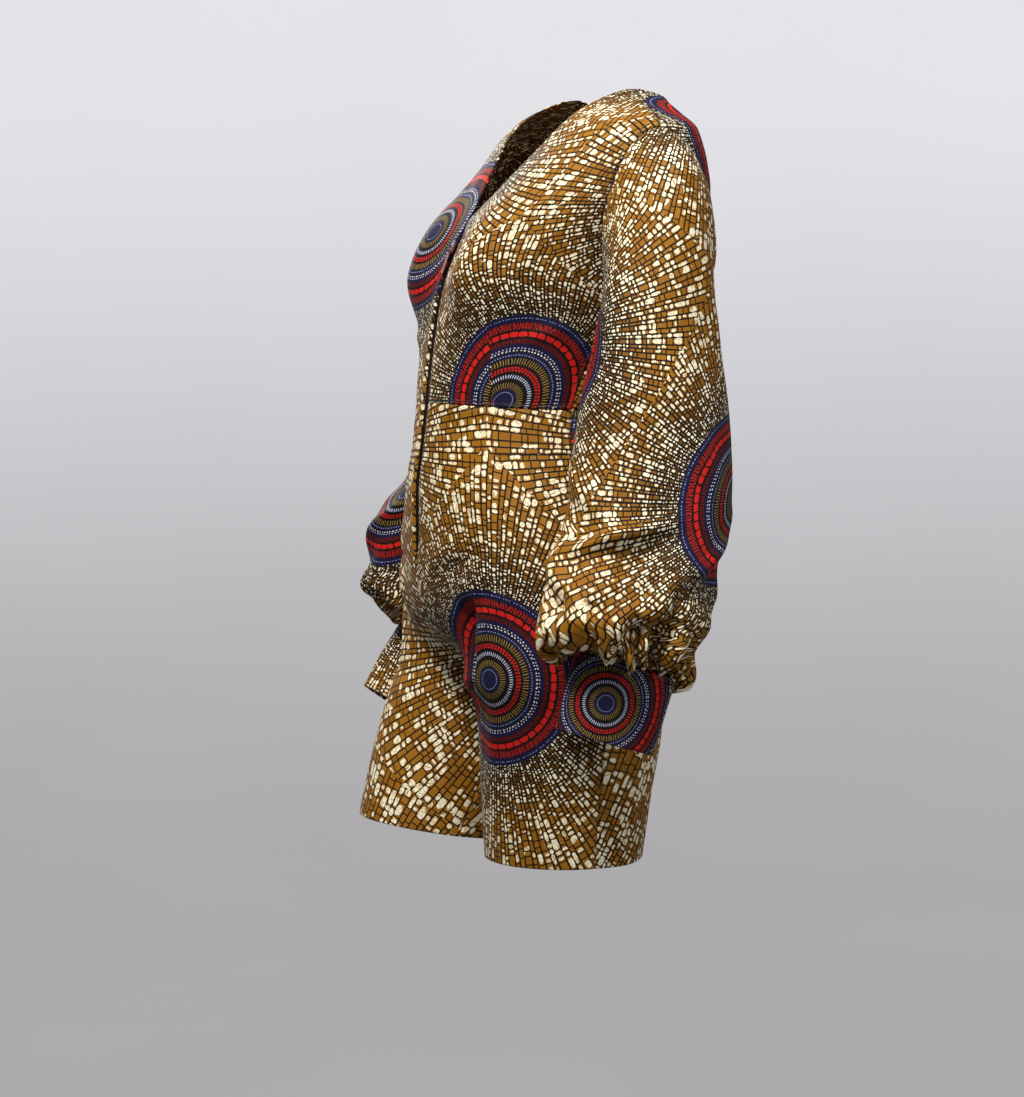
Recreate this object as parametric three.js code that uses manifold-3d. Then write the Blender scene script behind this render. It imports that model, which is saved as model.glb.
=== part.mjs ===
// A playsuit: a short one-piece garment in printed cotton, held open as it is worn.
// Bodice with a V neck and waist darts, invisible front zip, set-in bishop sleeves gathered into
// deep cuffs, and mid-thigh shorts legs. Every panel is a thin wall of its own, cut at its seams.
// Millimetres. +Z is up, the wearer faces -Y and the wearer's left is +X.
// The origin is midway between the two shoulder seams, where the shoulders carry the garment.

import * as THREE from 'three';
import { mergeVertices } from 'three/addons/utils/BufferGeometryUtils.js';
import Module from 'manifold-3d';

// ---- Driving dimensions ----
const WALL = 1.4; // one layer of waxed cotton, with its seam allowances
const CUFF_WALL = 2.4; // a cuff is two layers
const SEAM_GAP = 0.3; // between neighbouring panels
const ARMHOLE_GAP = 0.8; // the same at an armhole, where the seam turns sharply
const NECK_TIP_Z = 26; // where the shoulder seam meets the neck
const SHOULDER_TIP_Z = -20; // where the shoulder seam meets the armhole
const NECK_BACK_Z = 16; // middle of the back neckline
const V_POINT_Z = -111; // bottom of the V neck
const UNDERARM_Z = -185;
const WAIST_Z = -304; // waist seam at the centre front
const WAIST_DIP = 6; // the seam is lower at the sides
const RISE_FRONT_Z = -500; // where the centre front seam starts to curve under
const RISE_BACK_Z = -478; // the same at the back
const CROTCH_Z = -592;
const ZIP_END_Z = -470;
const CUFF_HEIGHT = 80;
const GATHERS = 20; // gathers let into each cuff

// ---- Form of the body of the garment: one row for each level ----
// half: half the width, front and back: y at the centre front and centre back,
// mid: y of the side, round: 1 is an ellipse and less is squarer.
const TORSO = [
  { z: 34, half: 68, front: -30, mid: 14, back: 62, round: 1 },
  { z: 26, half: 79, front: -38, mid: 11, back: 64, round: 1 },
  { z: 14, half: 101, front: -50, mid: 6, back: 64, round: 0.96 },
  { z: 0, half: 131, front: -65, mid: 2, back: 68, round: 0.86 },
  { z: -20, half: 168, front: -79, mid: -4, back: 75, round: 0.76 },
  { z: -47, half: 171, front: -98, mid: -8, back: 84, round: 0.72 },
  { z: -85, half: 167, front: -127, mid: -14, back: 94, round: 0.74 },
  { z: -111, half: 160, front: -148, mid: -19, back: 96, round: 0.78 },
  { z: -150, half: 151, front: -168, mid: -26, back: 90, round: 0.86 },
  { z: -185, half: 146, front: -181, mid: -34, back: 78, round: 0.93 },
  { z: -235, half: 137, front: -191, mid: -56, back: 52, round: 0.97 },
  { z: -280, half: 131, front: -197, mid: -76, back: 29, round: 0.98 },
  { z: -310, half: 130, front: -200, mid: -85, back: 20, round: 1.03 },
  { z: -352, half: 140, front: -205, mid: -90, back: 17, round: 1.08 },
  { z: -400, half: 156, front: -210, mid: -92, back: 24, round: 1.05 },
  { z: -450, half: 171, front: -210, mid: -88, back: 40, round: 1 },
  { z: -500, half: 180, front: -208, mid: -82, back: 55, round: 0.95 },
  { z: -550, half: 184, front: -206, mid: -77, back: 62, round: 0.95 },
  { z: -600, half: 185, front: -204, mid: -76, back: 58, round: 0.95 },
];

// Bust form that the darts give: reach out, place, and spread across, above and below.
const BUST = { reach: 31, x: 84, z: -166, across: 46, above: 84, below: 54 };

// Half the width of the neck opening at each level of the V.
const NECKLINE = [
  { z: -111, x: 0 },
  { z: -92, x: 14 },
  { z: -70, x: 30 },
  { z: -47, x: 47 },
  { z: -25, x: 62 },
  { z: 0, x: 74 },
  { z: 14, x: 77 },
  { z: 26, x: 79 },
];

// Armholes, from the underarm to the shoulder tip: angle round the body from the centre front.
const ARMHOLE_FRONT = [
  { t: 0, angle: 90, z: -185 },
  { t: 0.14, angle: 84, z: -177 },
  { t: 0.34, angle: 80, z: -150 },
  { t: 0.55, angle: 76.5, z: -112 },
  { t: 0.78, angle: 73.5, z: -66 },
  { t: 0.92, angle: 79, z: -34 },
  { t: 1, angle: 90, z: -20 },
];
const ARMHOLE_BACK = [
  { t: 0, angle: 90, z: -185 },
  { t: 0.14, angle: 101, z: -178 },
  { t: 0.34, angle: 113, z: -150 },
  { t: 0.55, angle: 118, z: -112 },
  { t: 0.78, angle: 113, z: -66 },
  { t: 0.92, angle: 101, z: -34 },
  { t: 1, angle: 90, z: -20 },
];

// Legs below the crotch: centre, half width, half depth, and how far the level tips up at its
// front, in degrees. The right leg steps forward.
const LEFT_LEG = [
  { z: -560, x: 93.2, y: -77, wide: 92, deep: 116, lean: 0 },
  { z: -592, x: 93.2, y: -77, wide: 92, deep: 111, lean: 0 },
  { z: -620, x: 94, y: -74, wide: 91, deep: 102, lean: 0 },
  { z: -660, x: 94, y: -73, wide: 89, deep: 97, lean: 0 },
  { z: -710, x: 92, y: -75, wide: 86, deep: 91, lean: 0 },
  { z: -780, x: 90, y: -77, wide: 83, deep: 84, lean: 0 },
];
const RIGHT_LEG = [
  { z: -560, x: 93.2, y: -77, wide: 92, deep: 116, lean: 0 },
  { z: -592, x: 93.2, y: -77, wide: 92, deep: 113, lean: 0 },
  { z: -620, x: 94, y: -92, wide: 91, deep: 107, lean: 2 },
  { z: -660, x: 94, y: -111, wide: 89, deep: 100, lean: 5 },
  { z: -710, x: 92, y: -133, wide: 86, deep: 92, lean: 8 },
  { z: -771, x: 90, y: -158, wide: 83, deep: 83, lean: 10 },
];

// Sleeves below the cap: centre, half width and half depth of each level. lean tips the level up
// at its front, in degrees, sag drops its front and back, and puff is the height of the gathers.
const LEFT_SLEEVE = [
  { z: -200, x: 202, y: -22, wide: 47, deep: 60, lean: 0, sag: 0, puff: 0 },
  { z: -250, x: 204, y: -26, wide: 53, deep: 67, lean: 0, sag: 0, puff: 0 },
  { z: -300, x: 208, y: -29, wide: 57, deep: 77, lean: 0, sag: 0, puff: 0 },
  { z: -350, x: 214, y: -33, wide: 58, deep: 83, lean: 0, sag: 0, puff: 0 },
  { z: -396, x: 223, y: -40, wide: 59, deep: 86, lean: 2, sag: 0, puff: 1 },
  { z: -436, x: 234, y: -52, wide: 59, deep: 85, lean: 4, sag: 0, puff: 2.5 },
  { z: -470, x: 243, y: -66, wide: 59, deep: 84, lean: 7, sag: 3, puff: 4 },
  { z: -498, x: 249, y: -79, wide: 58, deep: 82, lean: 11, sag: 10, puff: 5 },
  { z: -524, x: 251, y: -88, wide: 54, deep: 76, lean: 14, sag: 20, puff: 5.5 },
  { z: -545, x: 251, y: -87, wide: 44, deep: 69, lean: 17, sag: 25, puff: 3 },
  { z: -555, x: 251, y: -80, wide: 38, deep: 62, lean: 17, sag: 0, puff: 1.5 },
  { z: -559, x: 251, y: -78, wide: 30, deep: 55, lean: 17, sag: 0, puff: 0.8 },
];
const RIGHT_SLEEVE = [
  { z: -200, x: 202, y: -26, wide: 47, deep: 60, lean: 0, sag: 0, puff: 0 },
  { z: -250, x: 204, y: -33, wide: 53, deep: 67, lean: 0, sag: 0, puff: 0 },
  { z: -300, x: 208, y: -40, wide: 57, deep: 76, lean: 0, sag: 0, puff: 0 },
  { z: -350, x: 214, y: -46, wide: 58, deep: 78, lean: 2, sag: 0, puff: 0 },
  { z: -396, x: 224, y: -54, wide: 58, deep: 80, lean: 5, sag: 0, puff: 1 },
  { z: -436, x: 236, y: -76, wide: 58, deep: 82, lean: 9, sag: 0, puff: 2.5 },
  { z: -470, x: 245, y: -89, wide: 58, deep: 82, lean: 14, sag: 0, puff: 4 },
  { z: -502, x: 251, y: -97, wide: 57, deep: 79, lean: 19, sag: 4, puff: 5 },
  { z: -532, x: 253, y: -99, wide: 52, deep: 73, lean: 25, sag: 10, puff: 5 },
  { z: -564, x: 253, y: -95, wide: 43, deep: 63, lean: 30, sag: 12, puff: 4 },
  { z: -589, x: 253, y: -92, wide: 36, deep: 59, lean: 33, sag: 1, puff: 2 },
  { z: -595, x: 253, y: -91, wide: 30, deep: 55, lean: 33, sag: 0, puff: 0.8 },
];

// Large folds pressed into the sleeves: where (angle from the inner side through the front), how
// deep, half their width and length, and how far they climb towards the back, in degrees.
const LEFT_FOLDS = [
  { angle: 178, z: -456, depth: 9, width: 9, length: 46, climb: 16 },
  { angle: 128, z: -486, depth: 7, width: 9, length: 34, climb: -30 },
  { angle: 232, z: -420, depth: 6, width: 10, length: 44, climb: 24 },
];
const RIGHT_FOLDS = [
  { angle: 96, z: -470, depth: 8, width: 9, length: 40, climb: 20 },
  { angle: 60, z: -420, depth: 6, width: 10, length: 40, climb: -18 },
  { angle: 200, z: -450, depth: 6, width: 10, length: 44, climb: 14 },
];

// Invisible zip. The slider lies on the seam and its pull tab hangs from an arch over it.
const TAPE_WIDTH = 13;
const TAPE_WALL = 0.8;
const TAPE_SLACK = 1; // between the front panels and the tapes behind them
const HINGE_Z = -144; // level of the hinge line on the centre front
const SLIDER = { width: 5, length: 13, thick: 2.2, below: 4 };
const ARCH = { reach: 2.3, height: 1.9, wire: 0.6 }; // from the hinge line to the wire's middle
const HINGE_LIFT = 1.3; // hinge line above the slider's face
const TAB = { length: 28, wide: 5.6, neck: 4.4, thick: 1, bar: 0.5, eye: 4.5, eyeWide: 2.8 };
const TAB_REST = 5; // degrees the hanging tab leans in towards the cloth

// How far the cap stands out of the armhole before it falls, beside its straight way down.
const CAP_EASE = { front: 0.4, back: 1.1, up: 0.8 };
const CUFF_TAPER = 0.98; // a cuff's lower edge over its upper

// ---- How finely each panel is divided ----
const ACROSS = 10; // front or back panel, from its centre to its side
const SIDE_ROWS = 6; // waist to underarm
const ARM_ROWS = 10; // underarm to shoulder tip
const ROWS = SIDE_ROWS + ARM_ROWS;
const V_ROW = 9; // the row that ends at the point of the V
const NECK_COLUMNS = 4; // of the back panel's half, along the neck
const HIP_ROWS = 5; // waist to where the rise curves
const RISE_ROWS = 5;
const LEG_ROWS = 5;
const SHORTS_ROWS = HIP_ROWS + RISE_ROWS + LEG_ROWS;
const SEAM_COLUMNS = 2 * ARM_ROWS; // of the sleeve at the armhole; doubled in the cap
const CAP_ROWS = 5; // armhole to the first full ring of the sleeve
const PLAIN_LEVELS = 4; // levels of the sleeve above the gathers, which need twice the columns
const CUFF_COLUMNS = 40;
const TAPE_ROWS = 14;

const V3 = (x, y, z) => new THREE.Vector3(x, y, z);
const mix = (a, b, t) => a + (b - a) * t;
const clamp01 = (t) => Math.min(1, Math.max(0, t));
const radians = THREE.MathUtils.degToRad;

// A smooth curve through the rows of a table: column as a function of key, with no overshoot.
function curve(rows, key, column) {
  const sorted = [...rows].sort((a, b) => a[key] - b[key]);
  const k = sorted.map((r) => r[key]);
  const c = sorted.map((r) => r[column]);
  const slope = k.slice(1).map((_, i) => (c[i + 1] - c[i]) / (k[i + 1] - k[i]));
  const tangent = c.map((_, i) => {
    if (i === 0) return slope[0];
    if (i === c.length - 1) return slope[i - 1];
    const [a, b] = [slope[i - 1], slope[i]];
    return a * b <= 0 ? 0 : (2 * a * b) / (a + b);
  });
  return (at) => {
    const x = Math.min(Math.max(at, k[0]), k[k.length - 1]);
    let i = 0;
    while (i < k.length - 2 && x > k[i + 1]) i++;
    const span = k[i + 1] - k[i];
    const t = (x - k[i]) / span;
    const [t2, t3] = [t * t, t * t * t];
    return (
      (2 * t3 - 3 * t2 + 1) * c[i] +
      (t3 - 2 * t2 + t) * span * tangent[i] +
      (3 * t2 - 2 * t3) * c[i + 1] +
      (t3 - t2) * span * tangent[i + 1]
    );
  };
}

const curves = (rows, key, columns) =>
  Object.fromEntries(columns.map((column) => [column, curve(rows, key, column)]));

const torso = curves(TORSO, 'z', ['half', 'front', 'mid', 'back', 'round']);
const neckHalf = curve(NECKLINE, 'z', 'x');
const armholeFront = curves(ARMHOLE_FRONT, 't', ['angle', 'z']);
const armholeBack = curves(ARMHOLE_BACK, 't', ['angle', 'z']);

// ---- The body's surface, by angle from the centre front (radians, left side positive) and level ----
function bodyPoint(angle, z) {
  const [c, s] = [Math.cos(angle), Math.sin(angle)];
  const round = torso.round(z);
  const mid = torso.mid(z);
  const reach = c > 0 ? mid - torso.front(z) : torso.back(z) - mid;
  const p = V3(
    torso.half(z) * Math.sign(s) * Math.abs(s) ** round,
    mid - reach * Math.sign(c) * Math.abs(c) ** round,
    z
  );
  if (c > 0) {
    const across = (Math.abs(p.x) - BUST.x) / BUST.across;
    const up = z - BUST.z;
    const along = up / (up > 0 ? BUST.above : BUST.below);
    p.y -= BUST.reach * Math.exp(-across * across - along * along) * Math.min(1, c * 3);
  }
  return p;
}

// Unit normal, outwards, of a surface point(a, b) by small steps.
function normalOf(point, a, b, stepA, stepB) {
  const da = point(a + stepA, b).sub(point(a - stepA, b));
  const db = point(a, b + stepB).sub(point(a, b - stepB));
  return da.cross(db).normalize();
}

const bodyNormal = (angle, z) => normalOf(bodyPoint, angle, z, 0.01, 0.5);

// The angle whose point at level z lies at x.
const angleAt = (x, z) => Math.asin(clamp01(x / torso.half(z)) ** (1 / torso.round(z)));

const waistZ = (angle) => WAIST_Z - WAIST_DIP * Math.sin(angle) ** 2;

// ---- Bodice panels: a patch in (angle, level) between four edges, laid on the body ----
// across runs from the centre to the side, and up from the waist to the shoulder, both 0 to 1.
// The rows run straight between the side edges, and bend to the upper edge only close to it.
const BEND = 5;

function patch({ inner, outer, lower, upper }) {
  const bow = (edge, across, i) => edge(across)[i] - mix(edge(0)[i], edge(1)[i], across);
  return (across, up) => {
    const at = (i) =>
      mix(inner(up)[i], outer(up)[i], across) +
      bow(lower, across, i) * (1 - up) +
      bow(upper, across, i) * up ** BEND;
    return [at(0), at(1)];
  };
}

// The side edge: up the side seam, then round the armhole.
function sideEdge(armhole) {
  const underarm = SIDE_ROWS / ROWS;
  const side = Math.PI / 2;
  return (up) => {
    if (up <= underarm) return [side, mix(waistZ(side), UNDERARM_Z, up / underarm)];
    const t = (up - underarm) / (1 - underarm);
    return [radians(armhole.angle(t)), armhole.z(t)];
  };
}

function frontEdges() {
  const side = Math.PI / 2;
  const v = V_ROW / ROWS;
  return {
    inner: (up) => {
      if (up <= v) return [0, mix(WAIST_Z, V_POINT_Z, up / v)];
      const z = mix(V_POINT_Z, NECK_TIP_Z, (up - v) / (1 - v));
      return [angleAt(neckHalf(z), z), z];
    },
    outer: sideEdge(armholeFront),
    lower: (across) => [side * across, waistZ(side * across)],
    upper: (across) => [side, mix(NECK_TIP_Z, SHOULDER_TIP_Z, across)],
  };
}

function backEdges() {
  const side = Math.PI / 2;
  const neck = NECK_COLUMNS / ACROSS;
  return {
    inner: (up) => [Math.PI, mix(WAIST_Z, NECK_BACK_Z, up)],
    outer: sideEdge(armholeBack),
    lower: (across) => {
      const angle = Math.PI - side * across;
      return [angle, waistZ(angle)];
    },
    upper: (across) => {
      if (across > neck) {
        return [side, mix(NECK_TIP_Z, SHOULDER_TIP_Z, (across - neck) / (1 - neck))];
      }
      const t = across / neck;
      return [Math.PI - side * t, mix(NECK_BACK_Z, NECK_TIP_Z, t * t)];
    },
  };
}

// ---- Cloth: rows of {p, n} become a closed wall ----
// Both faces lie half the wall from the rows' points. A tube's rows close on themselves, and a row
// may have twice as many points as the one before it.
function clothGeometry(rows, wall, tube) {
  const position = [];
  const starts = [];
  for (const side of [0.5, -0.5]) {
    for (const row of rows) {
      starts.push(position.length / 3);
      for (const { p, n } of row) {
        position.push(p.x + n.x * wall * side, p.y + n.y * wall * side, p.z + n.z * wall * side);
      }
    }
  }
  const index = [];
  const face = (flip, a, b, c) => index.push(...(flip ? [a, c, b] : [a, b, c]));
  const quad = (flip, a, b, c, d) => {
    face(flip, a, b, c);
    face(flip, a, c, d);
  };
  const at = (layer, row, k) => starts[layer * rows.length + row] + (k % rows[row].length);
  for (let layer = 0; layer < 2; layer++) {
    for (let j = 0; j + 1 < rows.length; j++) {
      const count = tube ? rows[j].length : rows[j].length - 1;
      const doubled = rows[j + 1].length === 2 * rows[j].length;
      for (let k = 0; k < count; k++) {
        const [a, b] = [at(layer, j, k), at(layer, j, k + 1)];
        if (doubled) {
          const [c, d, e] = [0, 1, 2].map((i) => at(layer, j + 1, 2 * k + i));
          face(layer === 1, a, b, d);
          face(layer === 1, a, d, c);
          face(layer === 1, b, e, d);
        } else {
          quad(layer === 1, a, b, at(layer, j + 1, k + 1), at(layer, j + 1, k));
        }
      }
    }
  }
  const last = rows.length - 1;
  for (const [j, flip] of [[0, true], [last, false]]) {
    const count = tube ? rows[j].length : rows[j].length - 1;
    for (let k = 0; k < count; k++) {
      quad(flip, at(0, j, k), at(0, j, k + 1), at(1, j, k + 1), at(1, j, k));
    }
  }
  if (!tube) {
    for (let j = 0; j < last; j++) {
      const [m, n] = [rows[j].length - 1, rows[j + 1].length - 1];
      quad(false, at(0, j, 0), at(0, j + 1, 0), at(1, j + 1, 0), at(1, j, 0));
      quad(true, at(0, j, m), at(0, j + 1, n), at(1, j + 1, n), at(1, j, m));
    }
  }
  const geometry = new THREE.BufferGeometry();
  geometry.setAttribute('position', new THREE.Float32BufferAttribute(position, 3));
  geometry.setIndex(index);
  return turnedOut(geometry);
}

// Turns a closed geometry's faces outwards, whichever way its rows were wound.
function turnedOut(geometry) {
  const p = geometry.getAttribute('position');
  const index = geometry.index.array;
  const corner = (i) => V3(p.getX(index[i]), p.getY(index[i]), p.getZ(index[i]));
  let volume = 0;
  for (let i = 0; i < index.length; i += 3) {
    volume += corner(i).dot(corner(i + 1).cross(corner(i + 2)));
  }
  if (volume < 0) {
    for (let i = 0; i < index.length; i += 3) {
      [index[i + 1], index[i + 2]] = [index[i + 2], index[i + 1]];
    }
  }
  geometry.computeVertexNormals();
  return geometry;
}

// Draws a panel's edges in by half a seam gap, so that neighbours stay apart.
function inset(rows) {
  const by = SEAM_GAP / 2;
  const last = rows.length - 1;
  const end = rows[0].length - 1;
  const towards = (a, b) => b.p.clone().sub(a.p).setLength(by);
  const moves = rows.map((row, j) =>
    row.map((point, k) => {
      const move = V3(0, 0, 0);
      if (j === 0) move.add(towards(point, rows[1][k]));
      if (j === last) move.add(towards(point, rows[last - 1][k]));
      if (k === 0) move.add(towards(point, row[1]));
      if (k === end) move.add(towards(point, row[end - 1]));
      return move;
    })
  );
  return rows.map((row, j) => row.map(({ p, n }, k) => ({ p: p.clone().add(moves[j][k]), n })));
}

const mirrored = ({ p, n }) => ({ p: V3(-p.x, p.y, p.z), n: V3(-n.x, n.y, n.z) });

// Normals of a tube's rings, outwards. The rings run from the inner side through the front.
function tubeRows(rings) {
  return rings.map((ring, j) => {
    const before = rings[Math.max(0, j - 1)];
    const after = rings[Math.min(rings.length - 1, j + 1)];
    const count = ring.length;
    const level = (other, k) => other[Math.floor((k * other.length) / count)];
    return ring.map((p, k) => {
      const round = ring[(k + 1) % count].clone().sub(ring[(k + count - 1) % count]);
      const along = level(after, k).clone().sub(level(before, k));
      return { p, n: along.cross(round).normalize() };
    });
  });
}

// ---- Sleeves: a cap from the armhole to the first level, then one ring for each level ----
function sleeveShape(levels, folds) {
  const at = curves(levels, 'z', ['x', 'y', 'wide', 'deep', 'lean', 'sag', 'puff']);
  const grid = { front: patch(frontEdges()), back: patch(backEdges()) };
  const level = (z, ring) => {
    const lean = radians(at.lean(z));
    const [inner, front] = [Math.cos(ring), Math.sin(ring)];
    const drop = at.sag(z) * front ** 2;
    const out = 1 + (at.puff(z) / at.deep(z)) * Math.cos(GATHERS * ring);
    const forward = front * at.deep(z) * out;
    return V3(
      at.x(z) - inner * at.wide(z) * out,
      at.y(z) - forward * Math.cos(lean),
      z + forward * Math.sin(lean) - drop
    );
  };
  const foldDepth = (z, ring) => {
    let depth = 0;
    for (const fold of folds) {
      const [c, s] = [Math.cos(radians(fold.climb)), Math.sin(radians(fold.climb))];
      const round = (ring - radians(fold.angle)) * at.deep(z);
      const up = z - fold.z;
      const u = (round * c + up * s) / fold.length;
      const v = (up * c - round * s) / fold.width;
      depth += fold.depth * Math.exp(-u * u - v * v);
    }
    return depth;
  };
  // A point of the armhole; ring is the same angle as round the sleeve.
  const armhole = (ring) => {
    const isFront = ring <= Math.PI;
    const t = isFront ? ring / Math.PI : 2 - ring / Math.PI;
    const up = (SIDE_ROWS + clamp01(t) * ARM_ROWS) / ROWS;
    return (isFront ? grid.front : grid.back)(1, up);
  };
  const top = levels[0].z;
  const cap = (ring, row) => {
    const [angle, z] = armhole(ring);
    const start = bodyPoint(angle, z);
    const end = level(top, ring);
    const chord = end.clone().sub(start);
    const length = chord.length();
    const lift = Math.max(0, -Math.cos(ring));
    const leave = bodyNormal(angle, z).multiplyScalar(ring > Math.PI ? CAP_EASE.back : CAP_EASE.front);
    leave.add(V3(lift * CAP_EASE.up, 0, 0)).addScaledVector(chord, 1 / length).setLength(length);
    const arrive = level(top - 1, ring).sub(end).setLength(length * 0.9);
    const [r2, r3] = [row * row, row * row * row];
    return start
      .multiplyScalar(2 * r3 - 3 * r2 + 1)
      .addScaledVector(leave, r3 - 2 * r2 + row)
      .addScaledVector(end, 3 * r2 - 2 * r3)
      .addScaledVector(arrive, r3 - r2);
  };
  // The armhole seam: its point, the direction across it into the sleeve, and the mitred normal.
  const seam = (ring) => {
    const step = 0.02;
    const whole = 2 * Math.PI;
    const around = (by) => bodyPoint(...armhole((ring + by + whole) % whole));
    const along = around(step).sub(around(-step)).normalize();
    const [angle, z] = armhole(ring);
    const p = bodyPoint(angle, z);
    const intoBody = bodyNormal(angle, z).cross(along).normalize();
    const intoSleeve = cap(ring, 0.05).sub(p);
    intoSleeve.addScaledVector(along, -intoSleeve.dot(along)).normalize();
    const across = intoSleeve.sub(intoBody).normalize();
    return { p, across, n: across.clone().cross(along).normalize() };
  };
  return { level, foldDepth, cap, seam };
}

function sleeveRows(levels, folds) {
  const shape = sleeveShape(levels, folds);
  const ringAngles = (count) => Array.from({ length: count }, (_, k) => (2 * Math.PI * k) / count);
  const coarse = ringAngles(SEAM_COLUMNS);
  const plain = ringAngles(2 * SEAM_COLUMNS);
  const fine = ringAngles(4 * SEAM_COLUMNS);
  const rings = [coarse.map((ring) => shape.cap(ring, 0))];
  for (let row = 1; row < CAP_ROWS; row++) {
    rings.push(plain.map((ring) => shape.cap(ring, row / CAP_ROWS)));
  }
  levels.forEach(({ z }, i) => {
    const angles = i < PLAIN_LEVELS ? plain : fine;
    rings.push(angles.map((ring) => shape.level(z, ring)));
  });
  const rows = tubeRows(rings);
  rows.forEach((row, j) => {
    if (j < CAP_ROWS || j === rows.length - 1) return;
    const angles = row.length === plain.length ? plain : fine;
    row.forEach(({ p, n }, k) => p.addScaledVector(n, -shape.foldDepth(p.z, angles[k])));
  });
  rows[0] = coarse.map((ring) => {
    const { p, across, n } = shape.seam(ring);
    return { p: p.addScaledVector(across, ARMHOLE_GAP / 2), n };
  });
  return rows;
}

function cuffRows(levels) {
  const end = levels[levels.length - 1];
  const lean = radians(end.lean);
  const axis = V3(0, -Math.sin(lean), -Math.cos(lean));
  const forward = V3(0, -Math.cos(lean), Math.sin(lean));
  const top = V3(end.x, end.y, end.z).addScaledVector(axis, WALL / 2 + 2 * SEAM_GAP);
  const rings = [0, 0.33, 0.67, 1].map((down) => {
    const size = mix(1, CUFF_TAPER, down);
    const centre = top.clone().addScaledVector(axis, CUFF_HEIGHT * down);
    return Array.from({ length: CUFF_COLUMNS }, (_, k) => {
      const ring = (2 * Math.PI * k) / CUFF_COLUMNS;
      return centre
        .clone()
        .add(V3(-Math.cos(ring) * end.wide * size, 0, 0))
        .addScaledVector(forward, Math.sin(ring) * end.deep * size);
    });
  });
  return tubeRows(rings);
}

// ---- Bodice rows, from the waist up; the armhole column is mitred with its sleeve ----
function bodiceGrid(grid) {
  return Array.from({ length: ROWS + 1 }, (_, j) =>
    Array.from({ length: ACROSS + 1 }, (_, i) => {
      const [angle, z] = grid(i / ACROSS, j / ROWS);
      return { p: bodyPoint(angle, z), n: bodyNormal(angle, z) };
    })
  );
}

// Puts the mitred armhole seam on a panel's last column.
function mitreArmhole(rows, shape, isFront) {
  const end = rows[0].length - 1;
  const half = SEAM_GAP / 2;
  for (let j = SIDE_ROWS; j <= ROWS; j++) {
    const t = (j - SIDE_ROWS) / ARM_ROWS;
    const { p, across, n } = shape.seam(isFront ? Math.PI * t : Math.PI * (2 - t) - 1e-6);
    const spot = p.clone().addScaledVector(across, -ARMHOLE_GAP / 2);
    if (j === SIDE_ROWS) spot.add(rows[j][end - 1].p.clone().sub(p).setLength(half));
    if (j === ROWS) spot.add(rows[j - 1][end].p.clone().sub(p).setLength(half));
    rows[j][end] = { p: spot, n };
  }
  return rows;
}

function bodiceFrontRows(shape) {
  return mitreArmhole(inset(bodiceGrid(patch(frontEdges()))), shape, true);
}

function bodiceBackRows(leftShape, rightShape) {
  const half = () => bodiceGrid(patch(backEdges()));
  const sides = [leftShape, rightShape].map((shape) => mitreArmhole(inset(half()), shape, false));
  const [left, right] = sides;
  const centre = half();
  return left.map((row, j) => {
    const middle = { p: row[0].p.clone(), n: centre[j][0].n };
    middle.p.x = 0;
    return [...right[j].slice(1).reverse().map(mirrored), middle, ...row.slice(1)];
  });
}

// ---- Shorts: each panel runs from the hip's ring into a leg's ring ----
// across runs from the centre seam or inseam (0) to the side seam (1); row counts from the waist.
function shortsPoint(leg, hemZ, isFront) {
  const sign = isFront ? 1 : -1;
  const riseZ = isFront ? RISE_FRONT_Z : RISE_BACK_Z;
  const crotchRow = HIP_ROWS + RISE_ROWS;
  return (across, row) => {
    const turn = clamp01((row - HIP_ROWS) / RISE_ROWS) * (Math.PI / 2);
    const angle = (isFront ? across : 2 - across) * (Math.PI / 2);
    const top = waistZ(angle);
    const down = (row - crotchRow) / LEG_ROWS;
    const rise = mix(top, riseZ, Math.min(1, row / HIP_ROWS)) + (CROTCH_Z - riseZ) * Math.sin(turn);
    const inner = down > 0 ? mix(CROTCH_Z, hemZ, down) : rise;
    const outer = down > 0 ? inner : mix(top, CROTCH_Z, row / crotchRow);
    const z = mix(inner, outer, Math.sin(clamp01(across) * (Math.PI / 2)));
    const ring = Math.PI * across;
    const lean = radians(leg.lean(z));
    const forward = sign * leg.deep(z) * Math.sin(ring);
    const legPoint = V3(
      leg.x(z) - leg.wide(z) * Math.cos(ring),
      leg.y(z) - forward * Math.cos(lean),
      z + forward * Math.sin(lean)
    );
    return bodyPoint(angle, z).lerp(legPoint, 1 - Math.cos(turn));
  };
}

function shortsRows(levels, isFront) {
  const leg = curves(levels, 'z', ['x', 'y', 'wide', 'deep', 'lean']);
  const point = shortsPoint(leg, levels[levels.length - 1].z, isFront);
  const sign = isFront ? 1 : -1;
  const crotchRow = HIP_ROWS + RISE_ROWS;
  const rows = Array.from({ length: SHORTS_ROWS + 1 }, (_, row) =>
    Array.from({ length: ACROSS + 1 }, (_, i) => {
      const n = normalOf(point, i / ACROSS, row, 0.01, 0.02).multiplyScalar(-sign);
      return { p: point(i / ACROSS, row), n };
    })
  );
  // The rise seam lies in the middle plane, so its normals do too, down to the crotch.
  for (let row = 0; row <= crotchRow; row++) {
    const below = point(0, Math.min(row + 0.05, crotchRow));
    const down = below.sub(point(0, Math.min(row, crotchRow - 0.05)));
    const n = down.cross(V3(sign, 0, 0)).setComponent(0, 0).normalize();
    if (row === crotchRow) n.add(V3(-1, 0, 0)).normalize();
    rows[row][0].n = n;
  }
  return inset(rows);
}

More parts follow.
